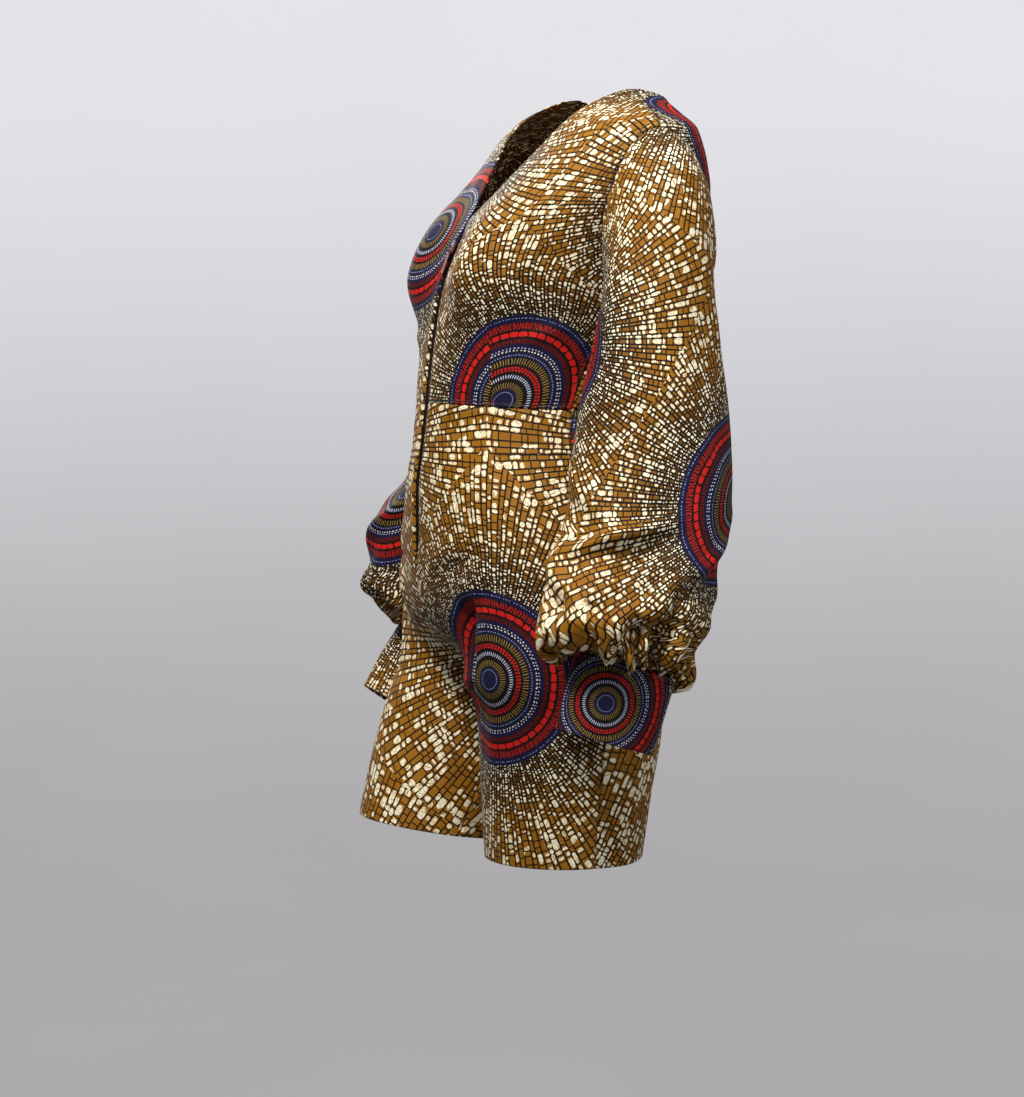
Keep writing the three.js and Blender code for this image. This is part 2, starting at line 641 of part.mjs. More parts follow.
// ---- Zip ----
// One tape lies behind the front panels, beside the seam, from the V neck to the zip's end.
function tapeRows() {
  const behind = (WALL + TAPE_WALL) / 2 + TAPE_SLACK;
  return Array.from({ length: TAPE_ROWS + 1 }, (_, j) => {
    const z = mix(V_POINT_Z - 4, ZIP_END_Z, j / TAPE_ROWS);
    return [SEAM_GAP, TAPE_WIDTH / 2, TAPE_WIDTH].map((x) => {
      const angle = angleAt(x, z);
      const n = bodyNormal(angle, z);
      return { p: bodyPoint(angle, z).addScaledVector(n, -behind), n };
    });
  });
}

// The slider's frame: X across, -Y off the cloth, Z up the seam, origin on the hinge line.
function sliderPlate() {
  const { width, length, thick, below } = SLIDER;
  const [x, round, taper] = [width / 2, 1.5, 0.6];
  const outline = new THREE.Shape();
  outline.moveTo(-x, round - below);
  outline.quadraticCurveTo(-x, -below, 0, -below);
  outline.quadraticCurveTo(x, -below, x, round - below);
  outline.lineTo(x - taper, length - below);
  outline.lineTo(taper - x, length - below);
  return new THREE.ExtrudeGeometry(outline, { depth: thick, bevelEnabled: false, curveSegments: 5 })
    .rotateX(Math.PI / 2)
    .translate(0, HINGE_LIFT + thick, 0);
}

function sliderArch() {
  const { reach, height, wire } = ARCH;
  const foot = HINGE_LIFT + wire;
  const shoulder = 0.7;
  const path = new THREE.CatmullRomCurve3([
    V3(0, foot, -reach),
    V3(0, -height * 0.3, -reach),
    V3(0, -height * 0.9, -reach * shoulder),
    V3(0, -height, 0),
    V3(0, -height * 0.9, reach * shoulder),
    V3(0, -height * 0.3, reach),
    V3(0, foot, reach),
  ]);
  const round = new THREE.Shape().absarc(0, 0, wire, 0, 2 * Math.PI);
  return new THREE.ExtrudeGeometry(round, { steps: 16, extrudePath: path, curveSegments: 4 });
}

function tabOutline() {
  const { length, wide, neck, bar, eye } = TAB;
  const foot = bar - length;
  const outline = new THREE.Shape();
  outline.moveTo(-neck / 2, bar);
  outline.lineTo(-neck / 2, -eye);
  outline.lineTo(-wide / 2, foot + wide / 2);
  outline.quadraticCurveTo(-wide / 2, foot, 0, foot);
  outline.quadraticCurveTo(wide / 2, foot, wide / 2, foot + wide / 2);
  outline.lineTo(neck / 2, -eye);
  outline.lineTo(neck / 2, bar);
  return new THREE.ExtrudeGeometry(outline, {
    depth: TAB.thick,
    bevelEnabled: false,
    curveSegments: 5,
  }).rotateX(Math.PI / 2);
}

// The eye that the arch passes through.
function tabEye() {
  const { thick, bar, eye, eyeWide } = TAB;
  return new THREE.BoxGeometry(eyeWide, 3 * thick, eye - bar).translate(0, -thick / 2, -(eye + bar) / 2);
}

// ---- Joining solids ----
const wasm = await Module();
wasm.setup();

function toSolid(geometry) {
  const bare = geometry.clone();
  bare.deleteAttribute('normal');
  bare.deleteAttribute('uv');
  const merged = mergeVertices(bare, 1e-4);
  return new wasm.Manifold(
    new wasm.Mesh({
      numProp: 3,
      vertProperties: new Float32Array(merged.getAttribute('position').array),
      triVerts: new Uint32Array(merged.index.array),
    })
  );
}

function toGeometry(solid) {
  const mesh = solid.getMesh();
  const geometry = new THREE.BufferGeometry();
  geometry.setAttribute('position', new THREE.BufferAttribute(mesh.vertProperties, mesh.numProp));
  geometry.setIndex(new THREE.BufferAttribute(mesh.triVerts, 1));
  geometry.computeVertexNormals();
  return geometry;
}

// ---- The garment ----
const cloth = (color) => new THREE.MeshStandardMaterial({ color, roughness: 0.62, metalness: 0 });
const COTTON = 0x8a5a28;
const COTTON_DARK = 0x74481f;
const TAPE = 0x4a3436;
const SLIDER_PAINT = 0x7c5c5e;

function meshOf(name, geometry, material) {
  const mesh = new THREE.Mesh(geometry, material);
  mesh.name = name;
  return mesh;
}

const flipped = (rows) => rows.map((row) => row.map(mirrored));
const garment = new THREE.Group();
const addCloth = (name, rows, { wall = WALL, tube = false, color = COTTON } = {}) =>
  garment.add(meshOf(name, clothGeometry(rows, wall, tube), cloth(color)));

const leftArm = sleeveShape(LEFT_SLEEVE, LEFT_FOLDS);
const rightArm = sleeveShape(RIGHT_SLEEVE, RIGHT_FOLDS);
addCloth('bodice_front_left', bodiceFrontRows(leftArm));
addCloth('bodice_front_right', flipped(bodiceFrontRows(rightArm)));
addCloth('bodice_back', bodiceBackRows(leftArm, rightArm), { color: COTTON_DARK });
addCloth('sleeve_left', sleeveRows(LEFT_SLEEVE, LEFT_FOLDS), { tube: true });
addCloth('sleeve_right', flipped(sleeveRows(RIGHT_SLEEVE, RIGHT_FOLDS)), { tube: true });
const cuffLook = { wall: CUFF_WALL, tube: true, color: COTTON_DARK };
addCloth('cuff_left', cuffRows(LEFT_SLEEVE), cuffLook);
addCloth('cuff_right', flipped(cuffRows(RIGHT_SLEEVE)), cuffLook);
addCloth('shorts_front_left', shortsRows(LEFT_LEG, true));
addCloth('shorts_front_right', flipped(shortsRows(RIGHT_LEG, true)));
addCloth('shorts_back_left', shortsRows(LEFT_LEG, false), { color: COTTON_DARK });
addCloth('shorts_back_right', flipped(shortsRows(RIGHT_LEG, false)), { color: COTTON_DARK });
const tapeLook = { wall: TAPE_WALL, color: TAPE };
addCloth('zip_tape_left', tapeRows(), tapeLook);
addCloth('zip_tape_right', flipped(tapeRows()), tapeLook);

const zipPaint = new THREE.MeshStandardMaterial({
  color: SLIDER_PAINT,
  roughness: 0.4,
  metalness: 0.3,
});
const zip = new THREE.Group();
const lift = WALL / 2 + SEAM_GAP + SLIDER.thick + HINGE_LIFT;
zip.position.copy(bodyPoint(0, HINGE_Z).addScaledVector(bodyNormal(0, HINGE_Z), lift));
zip.rotation.x = -Math.atan(torso.front(HINGE_Z + 1) - torso.front(HINGE_Z));
const slider = toGeometry(toSolid(sliderPlate()).add(toSolid(sliderArch())));
zip.add(meshOf('zip_slider', slider, zipPaint));
const tab = toGeometry(toSolid(tabOutline()).subtract(toSolid(tabEye())));
tab.translate(0, TAB.thick / 2, 0).rotateX(radians(TAB_REST));
zip.add(meshOf('zip_pull', tab, zipPaint.clone()));
garment.add(zip);

export default garment;
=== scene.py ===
"""A playsuit in printed cotton, finished over its CAD frame. Metres; tables in millimetres."""
import math

import bpy
import numpy as np
from mathutils import Matrix, Vector


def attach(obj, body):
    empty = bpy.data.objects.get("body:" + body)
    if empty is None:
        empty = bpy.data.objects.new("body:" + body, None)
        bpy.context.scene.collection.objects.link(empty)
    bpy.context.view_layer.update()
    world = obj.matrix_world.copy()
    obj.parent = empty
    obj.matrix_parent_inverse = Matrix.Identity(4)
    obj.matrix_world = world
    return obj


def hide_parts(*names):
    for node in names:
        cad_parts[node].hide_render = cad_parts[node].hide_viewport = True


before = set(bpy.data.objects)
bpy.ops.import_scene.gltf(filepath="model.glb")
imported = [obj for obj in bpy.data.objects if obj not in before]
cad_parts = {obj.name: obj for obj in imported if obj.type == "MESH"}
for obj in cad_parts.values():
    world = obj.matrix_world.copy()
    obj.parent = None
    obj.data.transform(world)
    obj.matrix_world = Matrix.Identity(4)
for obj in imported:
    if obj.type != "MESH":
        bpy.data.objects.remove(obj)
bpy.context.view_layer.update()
MM, OTHER_SIDE = 0.001, np.array([-1, 1, 1])

# ---- Form of the garment (the same tables as the frame's) ----
TORSO = [  # z, half, front, mid, back, round
    [34, 68, -30, 14, 62, 1], [26, 79, -38, 11, 64, 1], [14, 101, -50, 6, 64, 0.96],
    [0, 131, -65, 2, 68, 0.86], [-20, 168, -79, -4, 75, 0.76], [-47, 171, -98, -8, 84, 0.72],
    [-85, 167, -127, -14, 94, 0.74], [-111, 160, -148, -19, 96, 0.78], [-150, 151, -168, -26, 90, 0.86],
    [-185, 146, -181, -34, 78, 0.93], [-235, 137, -191, -56, 52, 0.97], [-280, 131, -197, -76, 29, 0.98],
    [-310, 130, -200, -85, 20, 1.03], [-352, 140, -205, -90, 17, 1.08], [-400, 156, -210, -92, 24, 1.05],
    [-450, 171, -210, -88, 40, 1], [-500, 180, -208, -82, 55, 0.95], [-550, 184, -206, -77, 62, 0.95],
    [-600, 185, -204, -76, 58, 0.95],
]
NECKLINE = [[-111, 0], [-92, 14], [-70, 30], [-47, 47], [-25, 62], [0, 74], [14, 77], [26, 79]]
ARMHOLE_FRONT = [  # share of the way up, degrees round the body, z
    [0, 90, -185], [0.14, 84, -177], [0.34, 80, -150], [0.55, 76.5, -112], [0.78, 73.5, -66],
    [0.92, 79, -34], [1, 90, -20],
]
ARMHOLE_BACK = [
    [0, 90, -185], [0.14, 101, -178], [0.34, 113, -150], [0.55, 118, -112], [0.78, 113, -66],
    [0.92, 101, -34], [1, 90, -20],
]
LEFT_LEG = [  # z, x, y, half width, half depth, lean
    [-560, 93.2, -77, 92, 116, 0], [-592, 93.2, -77, 92, 111, 0], [-620, 94, -74, 91, 102, 0],
    [-660, 94, -73, 89, 97, 0], [-710, 92, -75, 86, 91, 0], [-780, 90, -77, 83, 84, 0],
]
RIGHT_LEG = [
    LEFT_LEG[0],
    [-592, 93.2, -77, 92, 113, 0], [-620, 94, -92, 91, 107, 2], [-660, 94, -111, 89, 100, 5],
    [-710, 92, -133, 86, 92, 8], [-771, 90, -158, 83, 83, 10],
]
LEFT_SLEEVE = [  # z, x, y, half width, half depth, lean, sag
    [-200, 202, -22, 47, 60, 0, 0], [-250, 204, -26, 53, 67, 0, 0], [-300, 208, -29, 57, 77, 0, 0],
    [-350, 214, -33, 58, 83, 0, 0], [-396, 223, -40, 59, 86, 2, 0], [-436, 234, -52, 59, 85, 4, 0],
    [-470, 243, -66, 59, 84, 7, 3], [-498, 249, -79, 58, 82, 11, 10], [-524, 251, -88, 54, 76, 14, 20],
    [-545, 251, -87, 44, 69, 17, 25], [-555, 251, -80, 38, 62, 17, 0], [-559, 251, -78, 30, 55, 17, 0],
]
RIGHT_SLEEVE = [
    [-200, 202, -26, 47, 60, 0, 0], [-250, 204, -33, 53, 67, 0, 0], [-300, 208, -40, 57, 76, 0, 0],
    [-350, 214, -46, 58, 78, 2, 0], [-396, 224, -54, 58, 80, 5, 0], [-436, 236, -76, 58, 82, 9, 0],
    [-470, 245, -89, 58, 82, 14, 0], [-502, 251, -97, 57, 79, 19, 4], [-532, 253, -99, 52, 73, 25, 10],
    [-564, 253, -95, 43, 63, 30, 12], [-589, 253, -92, 36, 59, 33, 1], [-595, 253, -91, 30, 55, 33, 0],
]
BUST = dict(reach=31, x=84, z=-166, across=46, above=84, below=54)
CAP_EASE = dict(front=0.4, back=1.1, up=0.8)
NECK_TIP_Z, SHOULDER_TIP_Z, NECK_BACK_Z, V_POINT_Z = 26, -20, 16, -111
UNDERARM_Z, WAIST_Z, WAIST_DIP = -185, -304, 6
RISE_FRONT_Z, RISE_BACK_Z, CROTCH_Z, ZIP_END_Z = -500, -478, -592, -470
CUFF_HEIGHT, CUFF_TAPER, CUFF_START = 80, 0.98, 1.3
SIDE_SHARE, V_SHARE, NECK_SHARE, BEND = 6 / 16, 9 / 16, 0.4, 5
HIP, RISE, LEG = 5, 5, 5  # share of the shorts' rows
GATHERS = 22  # let into each cuff
CLOTH, TAPE_CLOTH, TAPE_BEHIND, EDGE_REACH = 0.8, 0.6, 2.1, 30
HEM, HEM_STITCHES, CUFF_HEM, NECK_STITCHES = 22, 19, 30, 6  # turned-up cloth, and stitches from the edge
ZIP_LIFT, ZIP_GAPE = (-1.3, 1.2), (5.6, 2.8)  # beside the zip, of its left and its right edge
DART = dict(tip_z=-215, waist=0.535, tip=0.445, take=24)
TUCK = dict(u=-133, v=-557, slope=0.13, deep=14, taken=9)
PLEATS = 17  # deep ones, of all the gathers
STITCH, STITCH_GAP, THREAD, COIL_PITCH, COIL_THREAD = 2.6, 0.7, 0.22, 1.25, 0.3


def hermite(t, start, leave, end, arrive):
    return (
        start * (2 * t**3 - 3 * t**2 + 1)
        + leave * (t**3 - 2 * t**2 + t)
        + end * (3 * t**2 - 2 * t**3)
        + arrive * (t**3 - t**2)
    )


def curve(rows, column=1):
    """A smooth curve through a table's column, with no overshoot."""
    t = np.array(rows, float)
    t = t[np.argsort(t[:, 0])]
    k, c = t[:, 0], t[:, column]
    s = np.diff(c) / np.diff(k)
    a, b = s[:-1], s[1:]
    m = np.where(a * b <= 0, 0, 2 * a * b / np.where(a + b == 0, 1, a + b))
    m = np.concatenate([s[:1], m, s[-1:]])

    def at(x):
        x = np.clip(np.asarray(x, float), k[0], k[-1])
        i = np.clip(np.searchsorted(k, x, "right") - 1, 0, len(k) - 2)
        h = k[i + 1] - k[i]
        return hermite((x - k[i]) / h, c[i], h * m[i], c[i + 1], h * m[i + 1])

    return at


HALF, FRONT, MID, BACK, ROUND = (curve(TORSO, i) for i in range(1, 6))
NECK_HALF = curve(NECKLINE)


def mix(a, b, t):
    return a + (b - a) * t


def bell(x, width):
    return np.exp(-((x / width) ** 2))


def smooth(t, lo=0.0, hi=1.0):
    t = np.clip((t - lo) / (hi - lo), 0, 1)
    return t * t * (3 - 2 * t)


def body(angle, z):
    """The surface of the garment's body: radians from the centre front, and level."""
    angle, z = np.broadcast_arrays(np.asarray(angle, float), np.asarray(z, float))
    c, s = np.cos(angle), np.sin(angle)
    rd, mid = ROUND(z), MID(z)
    reach = np.where(c > 0, mid - FRONT(z), BACK(z) - mid)
    x = HALF(z) * np.sign(s) * np.abs(s) ** rd
    y = mid - reach * np.sign(c) * np.abs(c) ** rd
    across = (np.abs(x) - BUST["x"]) / BUST["across"]
    up = z - BUST["z"]
    along = up / np.where(up > 0, BUST["above"], BUST["below"])
    bump = BUST["reach"] * np.exp(-(across**2) - along**2) * np.minimum(1, c * 3)
    y = y - np.where(c > 0, bump, 0)
    return np.stack([x, y, z], -1)


def angle_at(x, z):
    return np.arcsin(np.clip(x / HALF(z), 0, 1) ** (1 / ROUND(z)))


def waist_z(angle):
    return WAIST_Z - WAIST_DIP * np.sin(angle) ** 2


# ---- Bodice ----
def side_edge(table):
    ang, lev = curve(table, 1), curve(table, 2)

    def at(up):
        t = (up - SIDE_SHARE) / (1 - SIDE_SHARE)
        low = up <= SIDE_SHARE
        a = np.where(low, np.pi / 2, np.radians(ang(t)))
        z = np.where(low, mix(waist_z(np.pi / 2), UNDERARM_Z, up / SIDE_SHARE), lev(t))
        return np.stack([a, z], -1)

    return at


def front_inner(up):
    z = np.where(
        up <= V_SHARE,
        mix(WAIST_Z, V_POINT_Z, up / V_SHARE),
        mix(V_POINT_Z, NECK_TIP_Z, (up - V_SHARE) / (1 - V_SHARE)),
    )
    a = np.where(up <= V_SHARE, 0, angle_at(NECK_HALF(z), z))
    return np.stack([a, z], -1)


def back_inner(up):
    return np.stack([np.full_like(up, np.pi), mix(WAIST_Z, NECK_BACK_Z, up)], -1)


def front_lower(t):
    a = np.pi / 2 * t
    return np.stack([a, waist_z(a)], -1)


def back_lower(t):
    a = np.pi - np.pi / 2 * t
    return np.stack([a, waist_z(a)], -1)


def front_upper(t):
    return np.stack([np.full_like(t, np.pi / 2), mix(NECK_TIP_Z, SHOULDER_TIP_Z, t)], -1)


def back_upper(t):
    n = np.clip(t / NECK_SHARE, 0, 1)
    s = np.clip((t - NECK_SHARE) / (1 - NECK_SHARE), 0, 1)
    z = np.where(t > NECK_SHARE, mix(NECK_TIP_Z, SHOULDER_TIP_Z, s), mix(NECK_BACK_Z, NECK_TIP_Z, n * n))
    return np.stack([np.pi - np.pi / 2 * n, z], -1)


def patch(front):
    if front:
        inner, lower, upper, outer = front_inner, front_lower, front_upper, side_edge(ARMHOLE_FRONT)
    else:
        inner, lower, upper, outer = back_inner, back_lower, back_upper, side_edge(ARMHOLE_BACK)

    def at(across, up):
        across, up = np.broadcast_arrays(np.asarray(across, float), np.asarray(up, float))
        zero, one = np.zeros_like(across), np.ones_like(across)
        t, u = across[..., None], up[..., None]

        def bow(edge):
            return edge(across) - mix(edge(zero), edge(one), t)

        g = mix(inner(up), outer(up), t) + bow(lower) * (1 - u) + bow(upper) * u**BEND
        return g[..., 0], g[..., 1]

    return at


GRIDS = {True: patch(True), False: patch(False)}


# ---- Sleeves ----
def armhole(ring):
    """(angle, z) of the armhole; ring runs from the inner side through the front."""
    ring = np.mod(ring, 2 * np.pi)
    is_front = ring <= np.pi
    t = np.clip(np.where(is_front, ring / np.pi, 2 - ring / np.pi), 0, 1)
    up = SIDE_SHARE + t * (1 - SIDE_SHARE)
    fa, fz = GRIDS[True](np.ones_like(up), up)
    ba, bz = GRIDS[False](np.ones_like(up), up)
    return np.where(is_front, fa, ba), np.where(is_front, fz, bz)


def normalised(v):
    return v / np.maximum(np.linalg.norm(v, axis=-1, keepdims=True), 1e-9)


def body_normal(angle, z):
    da = body(angle + 0.01, z) - body(angle - 0.01, z)
    dz = body(angle, z + 0.5) - body(angle, z - 0.5)
    return normalised(np.cross(da, dz))


class Sleeve:
    def __init__(self, rows):
        self.x, self.y, self.wide, self.deep, self.lean, self.sag = (curve(rows, i) for i in range(1, 7))
        self.top, self.end = float(rows[0][0]), float(rows[-1][0])

    def level(self, z, ring):
        lean = np.radians(self.lean(z))
        inner, front = np.cos(ring), np.sin(ring)
        forward = front * self.deep(z)
        return np.stack(
            [
                self.x(z) - inner * self.wide(z),
                self.y(z) - forward * np.cos(lean),
                z + forward * np.sin(lean) - self.sag(z) * front**2,
            ],
            -1,
        )

    def cap(self, row, ring):
        a, z = armhole(ring)
        start, n = body(a, z), body_normal(a, z)
        top = np.full_like(ring, self.top)
        end = self.level(top, ring)
        chord = end - start
        length = np.linalg.norm(chord, axis=-1, keepdims=True)
        lift = np.maximum(0, -np.cos(ring))[..., None]
        out = np.where(ring > np.pi, CAP_EASE["back"], CAP_EASE["front"])[..., None]
        leave = n * out + lift * CAP_EASE["up"] * np.array([1, 0, 0]) + chord / length
        leave = normalised(leave) * length
        arrive = normalised(self.level(top - 1, ring) - end) * length * 0.9
        return hermite(row[..., None], start, leave, end, arrive)


# ---- Shorts ----
def shorts_point(leg, front):
    x, y, wide, deep, lean = (curve(leg, i) for i in range(1, 6))
    hem = leg[-1][0]
    sign = 1 if front else -1
    rise_z = RISE_FRONT_Z if front else RISE_BACK_Z
    crotch = HIP + RISE

    def at(across, row):
        turn = np.clip((row - HIP) / RISE, 0, 1) * np.pi / 2
        angle = (across if front else 2 - across) * np.pi / 2
        top = waist_z(angle)
        down = (row - crotch) / LEG
        rise = mix(top, rise_z, np.minimum(1, row / HIP)) + (CROTCH_Z - rise_z) * np.sin(turn)
        below = mix(CROTCH_Z, hem, down)
        inner = np.where(down > 0, below, rise)
        outer = np.where(down > 0, below, mix(top, CROTCH_Z, row / crotch))
        z = mix(inner, outer, np.sin(np.clip(across, 0, 1) * np.pi / 2))
        ring = np.pi * across
        tip = np.radians(lean(z))
        forward = sign * deep(z) * np.sin(ring)
        on_leg = np.stack(
            [x(z) - wide(z) * np.cos(ring), y(z) - forward * np.cos(tip), z + forward * np.sin(tip)], -1
        )
        share = (1 - np.cos(turn))[..., None]
        return body(angle, z) * (1 - share) + on_leg * share

    return at


# ---- Small irregularities: seeded value noise on the flat cloth ----
def noise(u, v, scale, seed):
    rng = np.random.default_rng(seed)
    table = rng.random((64, 64)) * 2 - 1
    a, b = u / scale, v / scale
    i, j = np.floor(a).astype(int), np.floor(b).astype(int)
    fa, fb = smooth(a - i), smooth(b - j)

    def t(p, q):
        return table[p % 64, q % 64]

    return mix(mix(t(i, j), t(i + 1, j), fa), mix(t(i, j + 1), t(i + 1, j + 1), fa), fb)


def grid_normals(p, closed=False):
    du = np.roll(p, -1, 1) - np.roll(p, 1, 1) if closed else np.gradient(p, axis=1)
    dv = np.gradient(p, axis=0)
    return normalised(np.cross(du, dv))


def steps(n, fine_ends=(1.2, 2.6, 4.5), length=200.0):
    """Even steps from 0 to 1, with closer ones at the ends, where the seams are."""
    ends = [f / length for f in fine_ends]
    inset = ends[-1] * 1.2
    keep = [q for q in np.linspace(0, 1, n) if q in (0, 1) or inset < q < 1 - inset]
    return np.array(sorted({*keep, *ends, *(1 - e for e in ends)}))


def lengths(p, axis):
    d = np.linalg.norm(np.diff(p, axis=axis), axis=-1)
    pad = np.zeros((1, p.shape[1])) if axis == 0 else np.zeros((p.shape[0], 1))
    return np.concatenate([pad, np.cumsum(d, axis)], axis)


def edge_distance(p):
    """Distance along the cloth to the nearest edge of a grid, by rows and by columns."""
    v, u = lengths(p, 0), lengths(p, 1)
    return np.minimum(v, v[-1:] - v), np.minimum(u, u[:, -1:] - u)


def quads(rows, cols, closed=False):
    """The faces of a grid; a closed one runs all round."""
    j, i = np.meshgrid(np.arange(rows - 1), np.arange(cols if closed else cols - 1), indexing="ij")
    k = (i + 1) % cols
    return np.stack([j * cols + i, j * cols + k, (j + 1) * cols + k, (j + 1) * cols + i], -1).reshape(-1, 4)


def add_object(name, data):
    ob = bpy.data.objects.new(name, data)
    bpy.context.scene.collection.objects.link(ob)
    return ob


def add_mesh(name, points, faces):
    mesh = bpy.data.meshes.new(name)
    mesh.from_pydata(points, [], faces)
    mesh.shade_smooth()
    return add_object(name, mesh)


def girth(p):
    """Length round each row of a closed grid, from the middle of the row."""
    around = lengths(np.concatenate([p, p[:, :1]], 1), 1)
    half = p.shape[1] // 2
    return around - around[:, half : half + 1]


def facing(p, away, closed=False):
    """Normals out of the garment, and whether the grid's faces have to be turned."""
    n = grid_normals(p, closed)
    flip = float((n * away).sum(-1).mean()) < 0
    return (-n if flip else n), flip


def make_mesh(name, p, uv, closed=False, mirror=False, thick=CLOTH, flip=False):
    """A grid of points (millimetres) with its flat cloth coordinates becomes a thin cloth piece."""
    rows, cols = p.shape[:2]
    if mirror:
        p = p * OTHER_SIDE
        flip = not flip
    faces, uvi = quads(rows, cols, closed), quads(rows, uv.shape[1])  # uv has one more column if closed
    if flip:
        faces, uvi = faces[:, ::-1], uvi[:, ::-1]
    ob = add_mesh(name, (p.reshape(-1, 3) * MM).tolist(), faces.tolist())
    layer = ob.data.uv_layers.new(name="cloth")
    layer.data.foreach_set("uv", (uv.reshape(-1, 2)[uvi.ravel()] * MM).ravel())
    ob.data.validate()
    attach(ob, "garment")
    wall = ob.modifiers.new("wall", "SOLIDIFY")
    wall.thickness, wall.offset, wall.use_even_offset = thick * MM, 0, False
    return ob


# ---- Cloth pieces ----
CREASES = {  # u, v on the flat piece; height, width, length, turn in degrees
    "bodice_front_left": [
        (150, -205, 2.4, 9, 40, 62), (128, -150, 2.0, 8, 34, 48), (60, -120, -1.6, 8, 34, 35),
        (36, -262, 1.5, 7, 26, 12), (158, -280, 2.0, 8, 30, 20), (28, -190, -1.4, 8, 30, 78),
    ],
    "bodice_front_right": [
        (150, -200, 2.6, 9, 40, 58), (120, -262, 2.6, 8, 40, 14), (70, -282, 2.2, 7, 36, 8),
        (48, -120, -1.8, 8, 36, 40),
    ],
    "bodice_back": [
        (0, -262, 2.6, 9, 60, 2), (70, -240, 2.2, 9, 46, -14), (-74, -246, 2.4, 9, 46, 12),
        (96, -120, 2.2, 10, 44, 60), (-98, -126, 2.0, 10, 44, -58), (20, -284, 1.8, 7, 50, -4),
    ],
    "shorts_front_left": [
        (-150, -560, 4.2, 11, 46, 36), (-160, -530, -3.4, 9, 40, 24), (-128, -590, 3.2, 10, 44, 52),
        (-96, -430, 2.2, 11, 50, 70), (-60, -610, 2.2, 14, 70, 80), (-40, -690, 3.0, 14, 80, 88),
        (-120, -700, 2.4, 13, 60, 84),
    ],
    "shorts_front_right": [
        (-150, -556, 4.4, 11, 48, 36), (-158, -526, -3.4, 9, 42, 22), (-120, -590, 3.4, 10, 46, 50),
        (-70, -640, 2.6, 13, 60, 72), (-40, -680, 2.8, 14, 70, 86),
    ],
    "shorts_back_left": [
        (-120, -590, 4.0, 12, 60, 30), (-90, -556, 3.0, 11, 60, 20), (-70, -640, 3.0, 12, 60, 42),
        (-40, -700, 2.6, 14, 70, 84),
    ],
    "shorts_back_right": [
        (-120, -586, 4.0, 12, 60, 30), (-86, -560, 3.0, 11, 60, 18), (-64, -640, 3.0, 12, 60, 44),
        (-40, -690, 2.6, 14, 70, 84),
    ],
    "sleeve_left": [
        (-50, 240, 13, 8, 42, -18), (-20, 262, -5, 9, 34, -30), (-112, 342, -9, 7, 17, 70),
        (-34, 338, -9, 6, 22, 80), (-52, 316, -8, 6, 15, 20), (20, 330, -7, 6, 20, 100),
        (-86, 300, 7, 9, 26, 38), (10, 292, 6, 10, 34, -52), (58, 268, 8, 12, 50, -34),
        (110, 300, 6, 12, 60, -44), (-140, 260, 6, 12, 56, 40), (-96, 196, 4, 12, 60, 40),
        (30, 150, 3, 14, 60, 62), (120, 210, 4, 12, 50, -30), (-180, 300, 6, 12, 60, 60),
        (60, 30, 2.6, 13, 60, 64), (-60, 60, 2.4, 14, 60, 78), (-10, -60, 2.2, 12, 60, 84),
        (90, -40, 3.2, 11, 50, 70),
    ],
    "sleeve_right": [
        (50, 270, 8, 13, 60, -30), (100, 320, 6, 12, 60, -50), (-50, 210, 4, 12, 60, 34),
        (-110, 270, 6, 12, 56, 44), (20, 150, 3.2, 14, 70, 66), (-20, 340, 7, 11, 50, 78),
        (-80, 80, 2.8, 14, 60, -50),
    ],
}
PRINT_AT = {  # flat places of the medallions round each piece, the main one first
    "bodice_front_left": [(141, -350), (324, -138), (-60, -80), (110, 150)],
    "bodice_front_right": [(59, -163), (304, -403), (304, 77), (-186, -403)],
    "bodice_back": [(85, -51), (-154, -296), (336, -296), (-154, 184)],
    "shorts_front_left": [(-120, -639), (-335, -405), (155, -405), (-400, -980)],
    "shorts_front_right": [(-376, -600), (60, -420), (-90, -1000), (-376, -200)],
    "shorts_back_left": [(-250, -560), (-5, -320), (60, -960), (-495, -800)],
    "shorts_back_right": [(-150, -560), (95, -320), (95, -800), (-395, -320)],
    "sleeve_left": [(95, 203), (-174, 43), (56, -281), (340, -40)],
    "sleeve_right": [(-133, 224), (112, -16), (-133, -256), (112, 464)],
    "cuff_left": [(-23, 43), (240, -40), (-280, 200), (240, 280)],
    "cuff_right": [(-86, -62), (120, 60), (-300, 120), (120, -200)],
}
OTHER_MOTIFS = ("second_motif", "third_motif", "fourth_motif")
SMALL_PRINT = 1.22
PIECES, THREADS = [], []


def crease(u, v, cu, cv, height, width, length, turn):
    a = math.radians(turn)
    along = (u - cu) * math.cos(a) + (v - cv) * math.sin(a)
    over = (v - cv) * math.cos(a) - (u - cu) * math.sin(a)
    return height * bell(along, length) * (bell(over, width) - 0.5 * bell(over - 1.8 * width, 1.3 * width))


def handle(name, u, v, seed):
    """The cloth's lie: its own creases and a small unevenness."""
    d = sum(crease(u, v, *row) for row in CREASES.get(name, ()))
    return d + 0.5 * noise(u, v, 46, seed) + 0.22 * noise(u, v, 17, seed + 1)


def to_print(name, uv):
    """Cloth coordinates from the piece's main medallion; the cuffs were cut from smaller ones."""
    return (uv - np.array(PRINT_AT[name][0], float)) * (SMALL_PRINT if name.startswith("cuff") else 1)


